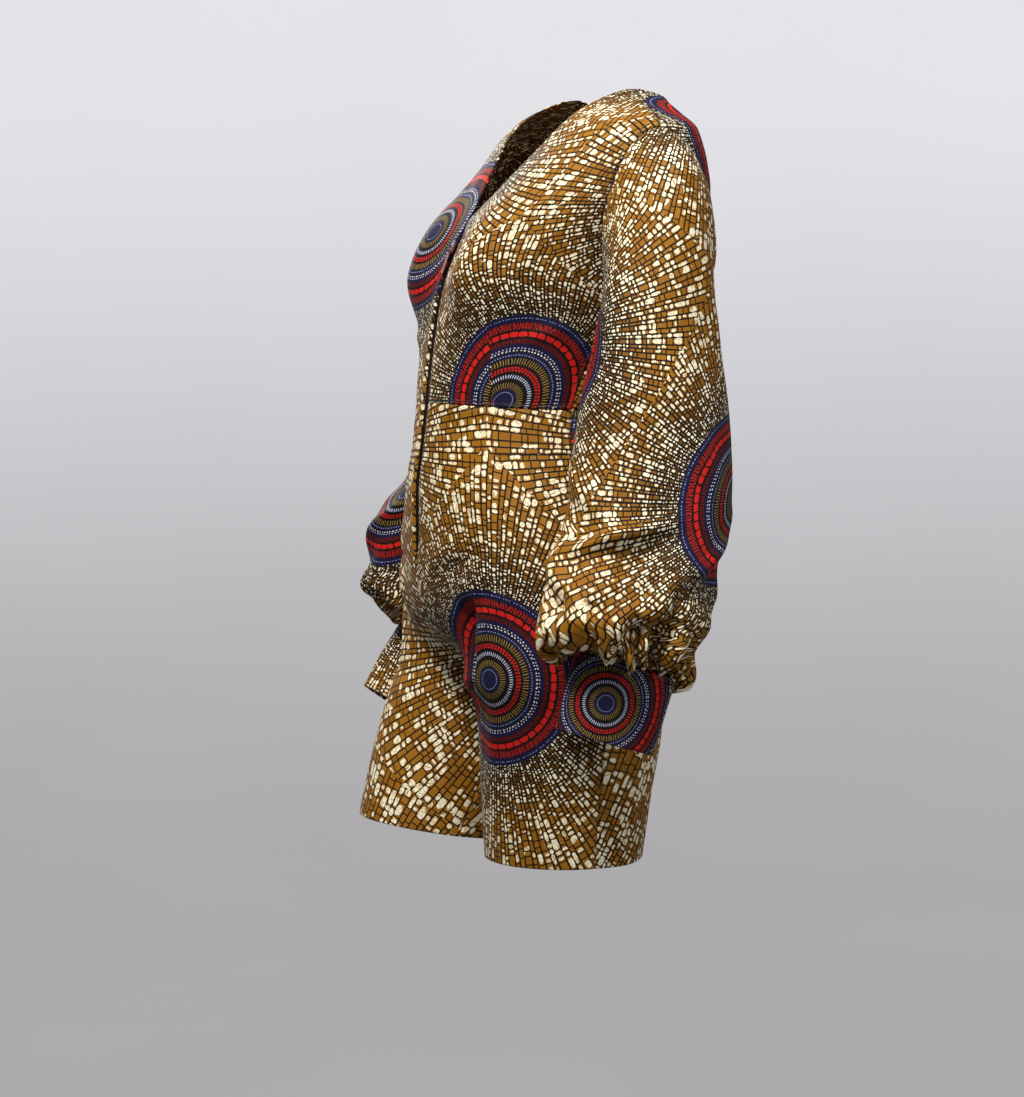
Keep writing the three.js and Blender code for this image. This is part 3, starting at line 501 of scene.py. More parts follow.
def turn_up(p, n, uv, height, depth=1.7):
    """Adds a hem: the cloth turned up inside along the grid's last row."""
    down = lengths(p, 0)
    from_hem = (down[-1:] - down).mean(axis=1)
    count = int(np.searchsorted(from_hem[::-1], height))
    inner = (p[::-1] - n[::-1] * depth)[: count + 1]
    first = p[-1:] - n[-1:] * depth * 0.5 + (p[-1:] - p[-2:-1]) / np.maximum(from_hem[-2], 0.1) * 0.5
    last, step = uv[-1:], uv[-1:] - uv[-2:-1]
    below = 2 * last - uv[::-1][1 : count + 1]
    return np.concatenate([p, first, inner]), np.concatenate([uv, last + step * 0.3, last + step * 0.6, below])


def add_cloth(name, p, uv, flip, edge, closed=False, mirror=False, alt=None):
    """A finished piece of the garment; alt is how far the print jumps, by rows, from a column on."""
    ob = make_mesh("cloth_" + name, p, to_print(name, uv), closed=closed, mirror=mirror, flip=flip)
    if alt is not None:
        shift, first = alt
        data = ob.data.uv_layers["cloth"].data
        flat = np.zeros(len(data) * 2)
        data.foreach_get("uv", flat)
        flat = flat.reshape(-1, 4, 2)
        rows, cols = p.shape[:2]
        j, i = np.meshgrid(np.arange(rows - 1), np.arange(cols - 1), indexing="ij")
        corner = np.stack([shift[j], shift[j], shift[j + 1], shift[j + 1]], -1).reshape(-1, 4)
        if flip != mirror:
            corner = corner[:, ::-1]
        flat[..., 0] += corner * (i.reshape(-1, 1) >= first) * MM
        data.foreach_set("uv", flat.ravel())
    layer = ob.data.attributes.new("edge", "FLOAT", "POINT")
    layer.data.foreach_set("value", np.minimum(edge, EDGE_REACH).ravel().astype(np.float32))
    main, *others = [Vector((*at, 0)) for at in PRINT_AT[name]]
    for key, other in zip(OTHER_MOTIFS, others):
        ob[key] = list(other - main)
    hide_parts(name)
    PIECES.append(ob)
    return ob


RING_ANGLES = np.linspace(0, np.pi, 181)
LOWEST = -600.0  # the body's table ends here; the legs go on straight
RING_LEVELS = np.linspace(34, LOWEST, 320)[::-1]


RING = lengths(body(*np.meshgrid(RING_ANGLES, RING_LEVELS))[..., :2], 1)


def ring_length(a, z):
    """Length round the body from the centre front, at a level."""
    i = np.interp(z, RING_LEVELS, np.arange(len(RING_LEVELS)))
    j = np.interp(a, RING_ANGLES, np.arange(len(RING_ANGLES)))
    i0, j0 = (np.minimum(k.astype(int), n - 2) for k, n in zip((i, j), RING.shape))
    near, far = (mix(RING[k, j0], RING[k, j0 + 1], j - j0) for k in (i0, i0 + 1))
    return mix(near, far, i - i0)


MERIDIAN = lengths(body(np.full(320, np.pi * 0.3), RING_LEVELS)[:, None], 0)[:, 0]


def down_length(z):
    """Length down the body, zero at the shoulder mount's level, negative below it."""
    return np.interp(z, RING_LEVELS, MERIDIAN) - np.interp(0, RING_LEVELS, MERIDIAN)


def seam_roll(dist, depth=1.3, width=2.6):
    return -depth * (1 - np.clip(dist / width, 0, 1)) ** 2


def pucker(along, dist, seed, height=0.45, pitch=9.5, reach=9):
    wave = np.sin(2 * np.pi * along / pitch + 3 * noise(along, dist * 0, 37, seed))
    return height * wave * np.exp(-dist / reach) * (0.4 + 0.6 * np.abs(noise(along, dist * 0, 23, seed + 5)))


def beside_zip(d, from_seam, share, depth, mirror):
    """The zip's edges turn in and stand a little apart: the new depth, and the shift in x."""
    d = d - depth * bell(from_seam, 1.8) * share
    d = d + ZIP_LIFT[mirror] * bell(from_seam - 3, 7) * share
    return d, ZIP_GAPE[mirror] * bell(from_seam, 9) * share


def bodice_front(name, seed, mirror):
    ups = steps(118, length=330)
    split = DART["tip"]
    cols = np.sort([*steps(84), *(split + x for x in (-0.012, -0.006, 0, 0.006, 0.012))])
    cols = cols[np.concatenate([[True], np.diff(cols) > 0.002])]
    dart_col = int(np.argmin(np.abs(cols - split)))
    t, up = np.meshgrid(cols, ups)
    up_tip = (DART["tip_z"] - WAIST_Z) / (V_POINT_Z - WAIST_Z) * V_SHARE
    line = mix(DART["waist"], DART["tip"], np.clip(up / up_tip, 0, 1))
    t = np.where(t < split, t * line / split, 1 - (1 - t) * (1 - line) / (1 - split))
    a, z = GRIDS[True](t, up)
    p = body(a, z)
    u, v = ring_length(a, z), down_length(z)
    uv = np.stack([u, v], -1)
    n, flip = facing(p, np.array([0, -1, 0]))
    rows, sides = edge_distance(p)
    edge = np.minimum(rows, sides)
    close = np.abs(u - u[:, dart_col : dart_col + 1])
    below = np.clip((DART["tip_z"] - z) / 12, 0, 1)
    d = handle(name, u, v, seed) * smooth(edge, 0, 22)
    d = d - 1.2 * bell(close, 1.5) * below
    d = d + pucker(z, close, seed + 9, 0.3) * below
    d = d + seam_roll(edge) + pucker(u, rows, seed + 2) + pucker(v, sides, seed + 3, 0.3)
    d, gape = beside_zip(d, lengths(p, 1), (a[:, :1] < 1e-6) * smooth(-z, 112, 136), 1.8, mirror)
    p = p + n * d[..., None]
    p[..., 0] += gape
    shift = DART["take"] * np.clip((DART["tip_z"] - z[:, dart_col]) / (DART["tip_z"] - WAIST_Z), 0, 1)
    add_cloth(name, p, uv, flip, edge, mirror=mirror, alt=(shift, dart_col))
    neck_stitches(name, p, n, mirror)


def bodice_back(name, seed):
    half = steps(84)
    ups = steps(118, length=330)
    t, up = np.meshgrid(np.concatenate([-half[:0:-1], half]), ups)
    a, z = GRIDS[False](np.abs(t), up)
    side = np.where(t < 0, -1.0, 1.0)
    p = body(a, z)
    p[..., 0] *= side
    u = side * (ring_length(np.full_like(a, np.pi), z) - ring_length(a, z))
    v = down_length(z)
    n, flip = facing(p, np.array([0, 1, 0]))
    rows, sides = edge_distance(p)
    edge = np.minimum(rows, sides)
    d = handle(name, u, v, seed) * smooth(edge, 0, 22)
    d = d + seam_roll(edge) + pucker(u, rows, seed + 2) + pucker(v, sides, seed + 3, 0.3)
    add_cloth(name, p + n * d[..., None], np.stack([u, v], -1), flip, edge)


ROLLS = {  # beside the cuff: ring angle, height above it; depth, half width, half length, turn
    "sleeve_left": [
        (116, 15, -15, 9, 17, 20), (195, 24, -14, 4.5, 28, 96), (177, 46, -10, 4, 15, 40),
        (138, 20, -9, 3.5, 22, 80), (161, 16, -8, 3.2, 18, 100), (214, 16, -11, 4, 22, 84),
        (236, 28, -9, 4, 26, 100), (94, 26, -10, 5, 24, 70), (258, 20, -9, 4, 24, 80), (20, 22, -9, 4, 24, 96),
        (50, 18, -9, 5, 22, 80), (290, 20, -10, 4, 26, 96), (330, 24, -9, 4, 24, 86), (149, 34, 7, 8, 22, 90),
        (205, 38, 8, 8, 26, 80), (106, 54, 9, 12, 26, 16), (171, 20, 6, 5, 20, 90), (184, 70, 7, 9, 32, 18),
        (226, 60, 6, 9, 30, 70),
    ],
    "sleeve_right": [
        (70, 18, -13, 6, 20, 60), (40, 24, -12, 5, 26, 96), (100, 22, -10, 4, 24, 84),
        (130, 18, -10, 4, 22, 96), (160, 26, -10, 4, 26, 80), (195, 20, -10, 4, 24, 96),
        (225, 24, -10, 4, 26, 84), (260, 20, -10, 4, 24, 96), (295, 24, -10, 4, 26, 84),
        (330, 18, -10, 4, 24, 90), (10, 26, -10, 4, 24, 84), (55, 50, 8, 10, 24, 20), (90, 60, 8, 10, 30, -20),
    ],
}


def rounded_fold(x):
    """A wave with round crests and sharp troughs, from -1 to 1."""
    return 2 * np.abs(np.cos(x / 2)) ** 0.75 - 1


def sleeve(name, rows, seed, mirror):
    form = Sleeve(rows)
    count = 264
    ring = np.arange(count) / count * 2 * np.pi
    cap_rows = np.concatenate([[0, 0.008, 0.016, 0.028], np.linspace(0.05, 1, 40)])
    caps = np.stack([form.cap(np.full(count, t), ring) for t in cap_rows])
    length = form.top - form.end
    near_cuff = form.end + np.array([30, 26, 22.5, 19, 16, 13, 10.5, 8.5, 6.5, 5, 3.5, 2.2, 1.1, 0])
    levels = np.concatenate([np.linspace(form.top, form.end + 32, int((length - 32) / 3.4))[1:], near_cuff])
    lower = np.stack([form.level(np.full(count, z), ring) for z in levels])
    p = np.concatenate([caps, lower])
    first = len(caps) - 1
    n, flip = facing(p, p - p.mean(axis=1, keepdims=True), True)
    down = lengths(p, 0)
    above = down[-1:] - down  # distance above the cuff
    phi = np.broadcast_to(ring, above.shape)
    # Gathers: close and sharp at the cuff, merging into fewer, wider and deeper folds above it.
    jitter = 0.9 * np.sin(3 * phi + seed) + 0.6 * np.sin(7 * phi + 2 * seed)
    fine = rounded_fold(GATHERS * phi + jitter + 0.02 * above * np.sin(2 * phi + seed))
    uneven = 0.62 + 0.38 * np.sin(5 * phi + 1.7 * seed) * np.sin(2 * phi + 0.6 * seed)
    d = 2.8 * fine * np.exp(-above / (14 + 26 * uneven)) * (0.12 + 0.88 * smooth(above, 0, 8))
    wide = rounded_fold(9 * phi + 1.1 * np.sin(3 * phi + seed) + 0.012 * above * np.cos(phi + seed))
    d = d + 7.0 * wide * uneven * bell(above - 34, 34) * smooth(above, 6, 34)
    loose = rounded_fold(5 * phi + 1.6 * np.sin(2 * phi + 2 * seed) + 0.01 * above)
    d = d + 7.5 * loose * (1.2 - uneven) * bell(above - 78, 44)
    d = d + 4.5 * bell(above - 34, 18) * smooth(above, 3, 24)
    rng = np.random.default_rng(100 + seed)
    for k in range(PLEATS):
        at = 2 * np.pi * (k + rng.uniform(0.1, 0.9)) / PLEATS
        depth, reach, slant = rng.uniform(9, 15), rng.uniform(30, 66), rng.uniform(-0.004, 0.004)
        off = (np.mod(phi - at - slant * above + np.pi, 2 * np.pi) - np.pi) * 66
        groove = bell(off, 2.4 + 0.07 * above) - 0.35 * bell(np.abs(off) - 7, 3.5)
        d = d - depth * groove * bell(above, reach) * smooth(above, 0, 7)
    d = d + 1.8 * np.cos(6 * phi + seed) * bell(above - 130, 60)
    for at, high, *shape in ROLLS[name]:
        off = (np.mod(phi - math.radians(at) + np.pi, 2 * np.pi) - np.pi) * 62
        depth, half, long, way = np.array(shape) * (1.8, 1.5, 1.15, 1)
        c, s = math.cos(math.radians(way)), math.sin(math.radians(way))
        along, over = off * c + (above - high) * s, (above - high) * c - off * s
        d = d + depth * np.exp(-((along / long) ** 2) - (over / half) ** 2) * smooth(above, 0, 6)
    u, v = girth(p)[:, :-1], down - down[first : first + 1]
    d = d + handle(name, u, v, seed) * smooth(down, 2, 26) * smooth(above, 2, 16)
    # The cap is eased into the armhole, so it is a little uneven beside the seam.
    eased = 0.9 * np.sin(2 * np.pi * u / 13 + 2 * np.sin(5 * phi)) * bell(down - 9, 9)
    d = d + eased * np.where(np.cos(phi) < 0.2, 1, 0.3)
    d = d + seam_roll(above, 1.6, 3)
    a, z = armhole(ring)
    tuck = seam_roll(down, 1.3, 3)[..., None] * body_normal(a, z)[None]
    p = p + n * d[..., None] + tuck
    uv = np.stack([girth(p), np.concatenate([v, v[:, :1]], 1)], -1)
    add_cloth(name, p, uv, flip, np.minimum(down, above), closed=True, mirror=mirror)
    return form


def cuff(name, form, seed, mirror):
    count = 160
    ring = np.arange(count) / count * 2 * np.pi
    z = np.full(count, form.end)
    top = form.level(z, ring)
    lean = math.radians(float(form.lean(form.end)))
    down_way = np.array([0, -math.sin(lean), -math.cos(lean)])
    centre = top.mean(0)
    rows = np.concatenate([[0, 1.1, 2.4, 4.4], np.linspace(8, CUFF_HEIGHT - 4, 26), [78, 79.2, CUFF_HEIGHT]])
    r = rows[:, None, None]
    p = centre + (top - centre) * mix(1, CUFF_TAPER, r / CUFF_HEIGHT) + down_way * (CUFF_START + r)
    n, flip = facing(p, p - p.mean(axis=1, keepdims=True), True)
    down, around = lengths(p, 0), girth(p)
    u = around[:, :-1]
    d = 0.7 * noise(u, down, 24, seed) + 0.35 * noise(u, down, 11, seed + 1)
    d = d + pucker(u, down, seed + 4, 0.8, 12, 12) + seam_roll(down, 1.5, 3)
    d = d * smooth(CUFF_HEIGHT - down, -6, 10)
    p = p + n * d[..., None]
    once_round = np.array([around[0, -1] - around[0, 0], 0])
    p, uv = turn_up(p, n, np.stack([u, down], -1), CUFF_HEM)
    uv = np.concatenate([uv, uv[:, :1] + once_round], 1)
    edge = np.concatenate([down, np.zeros((len(p) - len(down), count))])
    add_cloth(name, p, uv, flip, edge, closed=True, mirror=mirror)


def shorts(name, leg, front, seed, mirror):
    ends = [0.03, 0.067, 0.115]
    rows = np.concatenate([np.linspace(0, 5, 60), np.linspace(5, 10, 34), np.linspace(10, 15, 56)])
    rows = sorted({*rows.tolist(), *ends, 15 - 0.03, 15 - 0.07})
    rows = np.array([r for r in rows if r in ends or not 0 < r < 0.13])
    across, row = np.meshgrid(steps(84, length=220), rows)
    p = shorts_point(leg, front)(across, row)
    u, z = lengths(p[..., :2], 1), p[..., 2]
    u = u - u[:, -1:]
    v = down_length(np.maximum(z, LOWEST)) + np.minimum(z - LOWEST, 0)
    n, flip = facing(p, (p - np.array([93.0, -77, 0])) * np.array([1, 1, 0]))
    down, sides = lengths(p, 0), edge_distance(p)[1]
    up_hem = down[-1:] - down
    edge = np.minimum(down, sides)
    d = handle(name, u, v, seed) * smooth(np.minimum(edge, up_hem + 14), 0, 22)
    d = d + seam_roll(edge) + pucker(u, down, seed + 2) + pucker(v, sides, seed + 3, 0.4)
    gape = 0
    if front:
        # The zip goes on below the waist, then the seam is closed.
        zipped = smooth(z, ZIP_END_Z - 10, ZIP_END_Z + 25)
        d, gape = beside_zip(d, lengths(p, 1), zipped, 1.2, mirror)
    if name == "shorts_front_left":
        # The thigh stands out from a sharp fold, and the cloth beside it drops back to the crotch.
        past = (TUCK["u"] + (v - TUCK["v"]) * TUCK["slope"]) - u
        drop = TUCK["deep"] * smooth(past, 0, 5) * bell(np.maximum(past - 5, 0), 26)
        d = d - drop * smooth(-v, 548, 578) * smooth(v, -735, -655)
    d = d + 1.5 * noise(u, v * 0, 38, seed + 7) * np.exp(-up_hem / 60) * smooth(sides, 0, 20)
    p = p + n * d[..., None]
    p[..., 0] += gape
    if name == "shorts_front_left":
        u = u - TUCK["taken"] * smooth(past, 0, 4) * smooth(-v, 545, 580)
    hemmed, uv = turn_up(p, n, np.stack([u, v], -1), HEM)
    extra = np.minimum(edge[-1:], 4) * np.ones((len(hemmed) - len(p), 1))
    add_cloth(name, hemmed, uv, flip, np.concatenate([edge, extra]), mirror=mirror)
    at = int(np.argmin(np.abs(up_hem.mean(1) - HEM_STITCHES)))
    stitch_line("stitches_" + name, p[at, 1:-1], n[at, 1:-1], mirror)


def threads(name, runs, radius, mirror, up):
    """Short closed lengths of thread: runs is (how many, points, 3) in mm, up the way out."""
    sides, (many, count) = 6, runs.shape[:2]
    if mirror:
        runs, up = runs * OTHER_SIDE, up * OTHER_SIDE
    along = normalised(np.gradient(runs, axis=1))
    side = normalised(np.cross(along, up))
    out = np.cross(side, along)
    angle = np.arange(sides) * 2 * np.pi / sides
    ring = side[:, :, None] * np.cos(angle)[:, None] + out[:, :, None] * np.sin(angle)[:, None]
    taper = np.ones(count)
    taper[[0, -1]] = 0.25
    p = (runs[:, :, None] + ring * (radius * taper)[None, :, None, None]).reshape(-1, 3)
    first = np.arange(many)[:, None, None] * count * sides
    faces = (quads(count, sides, True)[None] + first).reshape(-1, 4)
    ends = np.stack([np.arange(sides)[::-1], np.arange(sides) + (count - 1) * sides])
    ends = (ends[None] + first).reshape(-1, sides)
    ob = add_mesh(name, (p * MM).tolist(), faces.tolist() + ends.tolist())
    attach(ob, "garment")
    THREADS.append(ob)
    return ob


def stitch_line(name, path, normals, mirror):
    """A row of machine stitches that lie in the cloth's face."""
    s = np.concatenate([[0], np.cumsum(np.linalg.norm(np.diff(path, axis=0), axis=1))])
    count = int(s[-1] / (STITCH + STITCH_GAP))
    start = np.arange(count) * (s[-1] / count)
    lift = np.array([-0.25, 0.2, 0.3, 0.2, -0.25]) + 0.4
    at = start[:, None] + np.linspace(0, STITCH, 5)
    p = np.stack([np.interp(at, s, path[:, k]) for k in range(3)], -1)
    n = np.stack([np.interp(at, s, normals[:, k]) for k in range(3)], -1)
    n = normalised(n)
    threads(name, p + n * lift[None, :, None], THREAD, mirror, n)


def neck_stitches(name, p, n, mirror):
    """A row of stitches along a front's neck edge."""
    inward = lengths(p, 1)
    rows = np.where(p[:, 0, 2] > V_POINT_Z + 3)[0]
    at = [int(np.argmin(np.abs(inward[j] - NECK_STITCHES))) for j in rows]
    stitch_line("stitches_" + name, p[rows, at], n[rows, at], mirror)


def tape(name, mirror):
    """One side of the zip: woven tape behind the front edge, with its coil."""
    down = np.linspace(V_POINT_Z - 4, ZIP_END_Z, 130)
    xs = np.array([0.3, 1.0, 2.2, 3.4, 5, 7, 9, 11, 12.4, 13])
    p = np.zeros((len(down), len(xs), 3))
    p[..., 0], p[..., 2] = xs, down[:, None]
    for j, z in enumerate(down):
        ring = body(np.linspace(0, 0.3, 40), z)
        p[j, :, 1] = np.interp(xs, ring[:, 0], ring[:, 1]) + TAPE_BEHIND
    p[..., 1] -= 0.35 * bell(p[..., 0] - 3.2, 0.5)
    p[..., 1] += 0.12 * noise(p[..., 2], p[..., 0], 24, 81)
    uv = np.stack(np.broadcast_arrays(xs[None, :], down[:, None]), -1)
    ob = make_mesh("woven_" + name, p, uv, mirror=mirror, thick=TAPE_CLOTH, flip=True)
    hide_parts(name)
    z = np.arange(down[0] - 12, ZIP_END_Z + 4, -COIL_PITCH)
    y = np.interp(-z, -down, p[:, 1, 1])
    turn = np.linspace(0, 2 * np.pi, 13)
    y, z = y[:, None], z[:, None]
    across, into, fall = 1.75 - 1.5 * np.cos(turn), 0.95 - 0.45 * np.sin(turn), COIL_PITCH * turn / 2 / np.pi
    runs = np.stack([across + 0 * z, y + into + 0.2, z - fall], -1)
    coil = threads("coil_" + name, runs, COIL_THREAD, mirror, np.array([0, 0, 1.0]) + 0 * runs)


for side, mirrored in (("left", False), ("right", True)):
    tape("zip_tape_" + side, mirrored)
bodice_front("bodice_front_left", 11, False)
bodice_front("bodice_front_right", 23, True)
bodice_back("bodice_back", 31)
cuff("cuff_left", sleeve("sleeve_left", LEFT_SLEEVE, 4, False), 51, False)
cuff("cuff_right", sleeve("sleeve_right", RIGHT_SLEEVE, 7, True), 53, True)
for side, leg, mirrored in (("left", LEFT_LEG, False), ("right", RIGHT_LEG, True)):
    shorts("shorts_front_" + side, leg, True, 61 + mirrored, mirrored)
    shorts("shorts_back_" + side, leg, False, 71 + mirrored, mirrored)


# ---- Finishes ----
def colour(code):
    """A hex colour as linear RGBA."""
    c = [int(code[i : i + 2], 16) / 255 for i in (0, 2, 4)]
    return (*[x / 12.92 if x <= 0.04045 else ((x + 0.055) / 1.055) ** 2.4 for x in c], 1)


CREAM, INK, NAVY, RED, MAROON = (colour(c) for c in ("F6EECF", "0E0906", "131436", "CB1B14", "661114"))
SCARLET = colour("A01C1A")
STRAW, LILAC, MILK, OCHRE = (colour(c) for c in ("A5863F", "A5AAD4", "C9CBE6", "97650F"))


class Num:
    """A number socket of a node tree; arithmetic on it adds math nodes."""

    def __init__(self, tree, socket):
        self.tree, self.socket = tree, socket

    def math(self, operation, *others):
        node = make(self.tree, "Math", dict(enumerate((self, *others))), operation=operation)
        return Num(self.tree, node.outputs[0])

    def __add__(self, x):
        return self.math("ADD", x)

    def __sub__(self, x):
        return self.math("SUBTRACT", x)

    def __mul__(self, x):
        return self.math("MULTIPLY", x)

    def __truediv__(self, x):
        return self.math("DIVIDE", x)

    def ramp(self, low, high):
        """0 below low, 1 above high, smooth between."""
        inputs = {"Value": self, "From Min": low, "From Max": high}
        return Num(self.tree, make(self.tree, "MapRange", inputs, interpolation_type="SMOOTHSTEP").outputs[0])


def feed(tree, node, inputs):
    """Sets a node's inputs, each to a value, another node's output or a Num."""
    for key, x in inputs.items():
        x = x.socket if isinstance(x, Num) else x
        if isinstance(x, bpy.types.NodeSocket):
            tree.links.new(x, node.inputs[key])
        else:
            node.inputs[key].default_value = x
    return node


def make(tree, kind, inputs, **settings):
    node = tree.nodes.new("ShaderNode" + kind)
    for key, value in settings.items():
        setattr(node, key, value)
    return feed(tree, node, inputs)


def join(*numbers):
    return make(numbers[0].tree, "CombineXYZ", dict(enumerate(numbers))).outputs[0]


def split(tree, socket):
    return [Num(tree, s) for s in make(tree, "SeparateXYZ", {0: socket}).outputs]


def blend(share, a, b, mode="MIX"):
    return make(share.tree, "Mix", {0: share, 6: a, 7: b}, data_type="RGBA", blend_type=mode).outputs[2]


def white(tree, vector):
    node = make(tree, "TexWhiteNoise", {"Vector": vector}, noise_dimensions="3D")
    return Num(tree, node.outputs["Value"]), split(tree, node.outputs["Color"])


def cloud(tree, vector, scale, detail=2.0):
    return make(tree, "TexNoise", {"Vector": vector, "Scale": scale, "Detail": detail})


def fog(tree, vector, scale, detail):
    return Num(tree, cloud(tree, vector, scale, detail).outputs["Fac"])


def material(name):
    mat = bpy.data.materials.new(name)
    mat.use_nodes = True
    return mat, mat.node_tree


def bumps(tree, height, strength, deep):
    return make(tree, "Bump", {"Strength": strength, "Distance": deep, "Height": height}).outputs[0]


RINGS = []  # from, to (mm), ground, motif, motifs round, share of width, share of height
for to, ground, *marks in [
    (9.2, NAVY), (10.6, NAVY, LILAC, 40, 0.42, 0.6), (13.5, NAVY), (20.5, INK, STRAW, 46, 0.24, 0.9),
    (24, INK), (28.4, INK, MILK, 66, 0.34, 0.88), (31.5, INK), (34.3, INK, RED, 58, 0.6, 0.74),
    (37, INK, RED, 64, 0.6, 0.74), (39, INK), (46, INK, STRAW, 92, 0.27, 0.92), (48, NAVY),
    (49.6, NAVY, LILAC, 112, 0.42, 0.6), (52.5, NAVY), (55, NAVY, CREAM, 88, 0.38, 0.56),
    (57.6, NAVY, MILK, 92, 0.36, 0.5), (60.5, NAVY), (66, INK, MAROON, 150, 0.58, 0.94), (68, INK),
    (73.6, INK, RED, 46, 0.86, 0.95), (75.6, INK), (83, INK, SCARLET, 160, 0.56, 0.95), (86.6, NAVY),
    (88, NAVY, LILAC, 160, 0.4, 0.6), (91, NAVY),
]:
    RINGS.append((RINGS[-1][1] if RINGS else 0, to, ground, *(marks or (ground, 8, 0, 0))))
RIM, COLUMNS, NEAR_CELL, CELL_GROWTH, WEAVE = 91, 184, 3.3, 0.056, 0.42


def steps_ramp(share, values):
    """A colour that changes in steps with share, one step for each ring."""
    node = make(share.tree, "ValToRGB", {0: share})
    bar = node.color_ramp
    bar.interpolation = "CONSTANT"
    while len(bar.elements) < len(values):
        bar.elements.new(0.5)
    for element, ring, value in zip(bar.elements, RINGS, values):
        element.position, element.color = ring[0] / RIM, value
    return node.outputs[0]


def wax_print():
    mat, tree = material("wax_print")
    coords = make(tree, "UVMap", {}, uv_map="cloth")
    flat = make(tree, "VectorMath", {0: coords.outputs[0], "Scale": 1000}, operation="SCALE").outputs[0]

    def grain(size, detail):
        return fog(tree, flat, 1 / size, detail)

    u, v, _ = split(tree, flat)
    wobble = split(tree, cloud(tree, flat, 1 / 12, 1).outputs["Color"])
    u, v = u + (wobble[0] - 0.5) * 0.9, v + (wobble[1] - 0.5) * 0.9
    near = [(u, v, (u * u + v * v).math("SQRT"))]
    for key in OTHER_MOTIFS:
        place = make(tree, "Attribute", {}, attribute_type="OBJECT", attribute_name=key)
        du, dv, _ = split(tree, place.outputs["Vector"])
        ou, ov = u - du, v - dv
        near.append((ou, ov, (ou * ou + ov * ov).math("SQRT")))
    x, y, r = near[0]
    which = r * 0
    for number, (ou, ov, other) in enumerate(near[1:], 1):
        closer = other.math("LESS_THAN", r)
        x, y = x + closer * (ou - x), y + closer * (ov - y)
        which = which + closer * (which * -1 + number)
        r = r.math("MINIMUM", other)
    turn = y.math("ARCTAN2", x) / (2 * math.pi) + 0.5

    # The field: brick cells in columns that radiate from the medallion.
    past = (r - RIM).math("MAXIMUM", 0)
    far = past.ramp(4, 70)
    spread = turn * COLUMNS
    spread_w = spread + (spread * 2.3).math("SINE") * 0.13
    column, in_column = spread_w.math("FLOOR"), spread_w.math("FRACT") - 0.5
    wide = r * (2 * math.pi / COLUMNS) / ((spread * 2.3).math("COSINE") * 0.3 + 1)
    chance, (lean, _, _) = white(tree, join(column, which * 17 + 3, 0.5))
    run = (past * (CELL_GROWTH / NEAR_CELL) + 1).math("LOGARITHM", math.e) / CELL_GROWTH + chance * 9
    along = run + (run * 2.1 + lean * 6).math("SINE") * 0.27
    row, in_row = along.math("FLOOR"), along.math("FRACT") - 0.5
    tall = (past * CELL_GROWTH + NEAR_CELL) / ((run * 2.1 + lean * 6).math("COSINE") * 0.56 + 1)
    cell, (one, two, three) = white(tree, join(column, row, which * 5 + 0.5))
    px, py = in_column * wide, in_row * tall
    side, end = wide * 0.5 - px.math("ABSOLUTE"), tall * 0.5 - py.math("ABSOLUTE")
    ray = far * -0.1 + 0.94
    brick = (side - ray).ramp(-0.15, 0.15) * (end - (far * -0.04 + 0.72)).ramp(-0.15, 0.15)
    patch_of = grain(26, 1).ramp(0.5, 0.64)
    ragged = (grain(3.0, 2) - 0.5) * (far * 1.7 + 0.5)
    size = one * 0.42 + 0.66 + patch_of * 0.2
    blob_x = ((wide * 0.5 - (far * -0.2 + 0.8)) * size + ragged).math("MAXIMUM", 0.55)
    size = two * 0.6 + 0.4 + patch_of * 0.2
    blob_y = ((tall * 0.5 - (far * -0.2 + 0.7)) * size + ragged).math("MAXIMUM", 0.6)
    bx = (px - (three - 0.5) * (wide * 0.5 - blob_x)).math("ABSOLUTE") / blob_x
    by = (py - (lean - 0.5) * (tall * 0.5 - blob_y)).math("ABSOLUTE") / blob_y
    round_off = bx.math("POWER", 2.6) + by.math("POWER", 2.6)
    filled = (cell + far * 0.2 + patch_of * far * -0.3).math("LESS_THAN", 0.7)
    blob = (round_off * -1 + 1.15).ramp(0.0, 0.3) * filled
    ochre = blend(one * 0.55, OCHRE, colour("85550B"))
    ochre = blend(three * 0.4, ochre, colour("AE7617"))
    ochre = blend(far * -0.55 + 0.55, ochre, colour("3A2507"))
    field = blend(brick, INK, ochre)
    crack = make(tree, "TexVoronoi", {"Vector": flat, "Scale": 1 / 5.5}, feature="DISTANCE_TO_EDGE")
    vein = Num(tree, crack.outputs["Distance"]).ramp(0.01, 0.05)
    stain = grain(7, 3).ramp(0.54, 0.7)
    cream = blend(stain * 0.55, CREAM, colour("D2A94E"))
    cream = blend(vein * far + (far * -1 + 1), colour("BC8F40"), cream)
    field = blend(blob, field, cream)
    halo = grain(2.4, 3).ramp(0.62, 0.68) * patch_of * far
    field = blend(halo * brick * 0.7, field, colour("E3C680"))

    # The medallion: rings of dots and dashes.
    share = r / RIM
    ground = steps_ramp(share, [g[2] for g in RINGS])
    motif = steps_ramp(share, [g[3] for g in RINGS])
    around, fill_w, fill_h = split(tree, steps_ramp(share, [(g[4] / 256, g[5], g[6], 1) for g in RINGS]))
    low, high, _ = split(tree, steps_ramp(share, [(g[0] / RIM, g[1] / RIM, 0, 1) for g in RINGS]))
    around = (around * 256).math("ROUND")
    turn = turn + (grain(6, 1) - 0.5) * 0.012
    mx = (((turn * around).math("FRACT") - 0.5) * 2).math("ABSOLUTE") / (fill_w + 0.001)
    my = ((share - low) / (high - low) * 2 - 1).math("ABSOLUTE") / (fill_h + 0.001)
    mark = (mx.math("POWER", 4.5) + my.math("POWER", 4.5)) * -1 + 1.15
    rings = blend(mark.ramp(0.0, 0.35), ground, motif)
    inked = blend(r.math("LESS_THAN", RIM), field, rings)

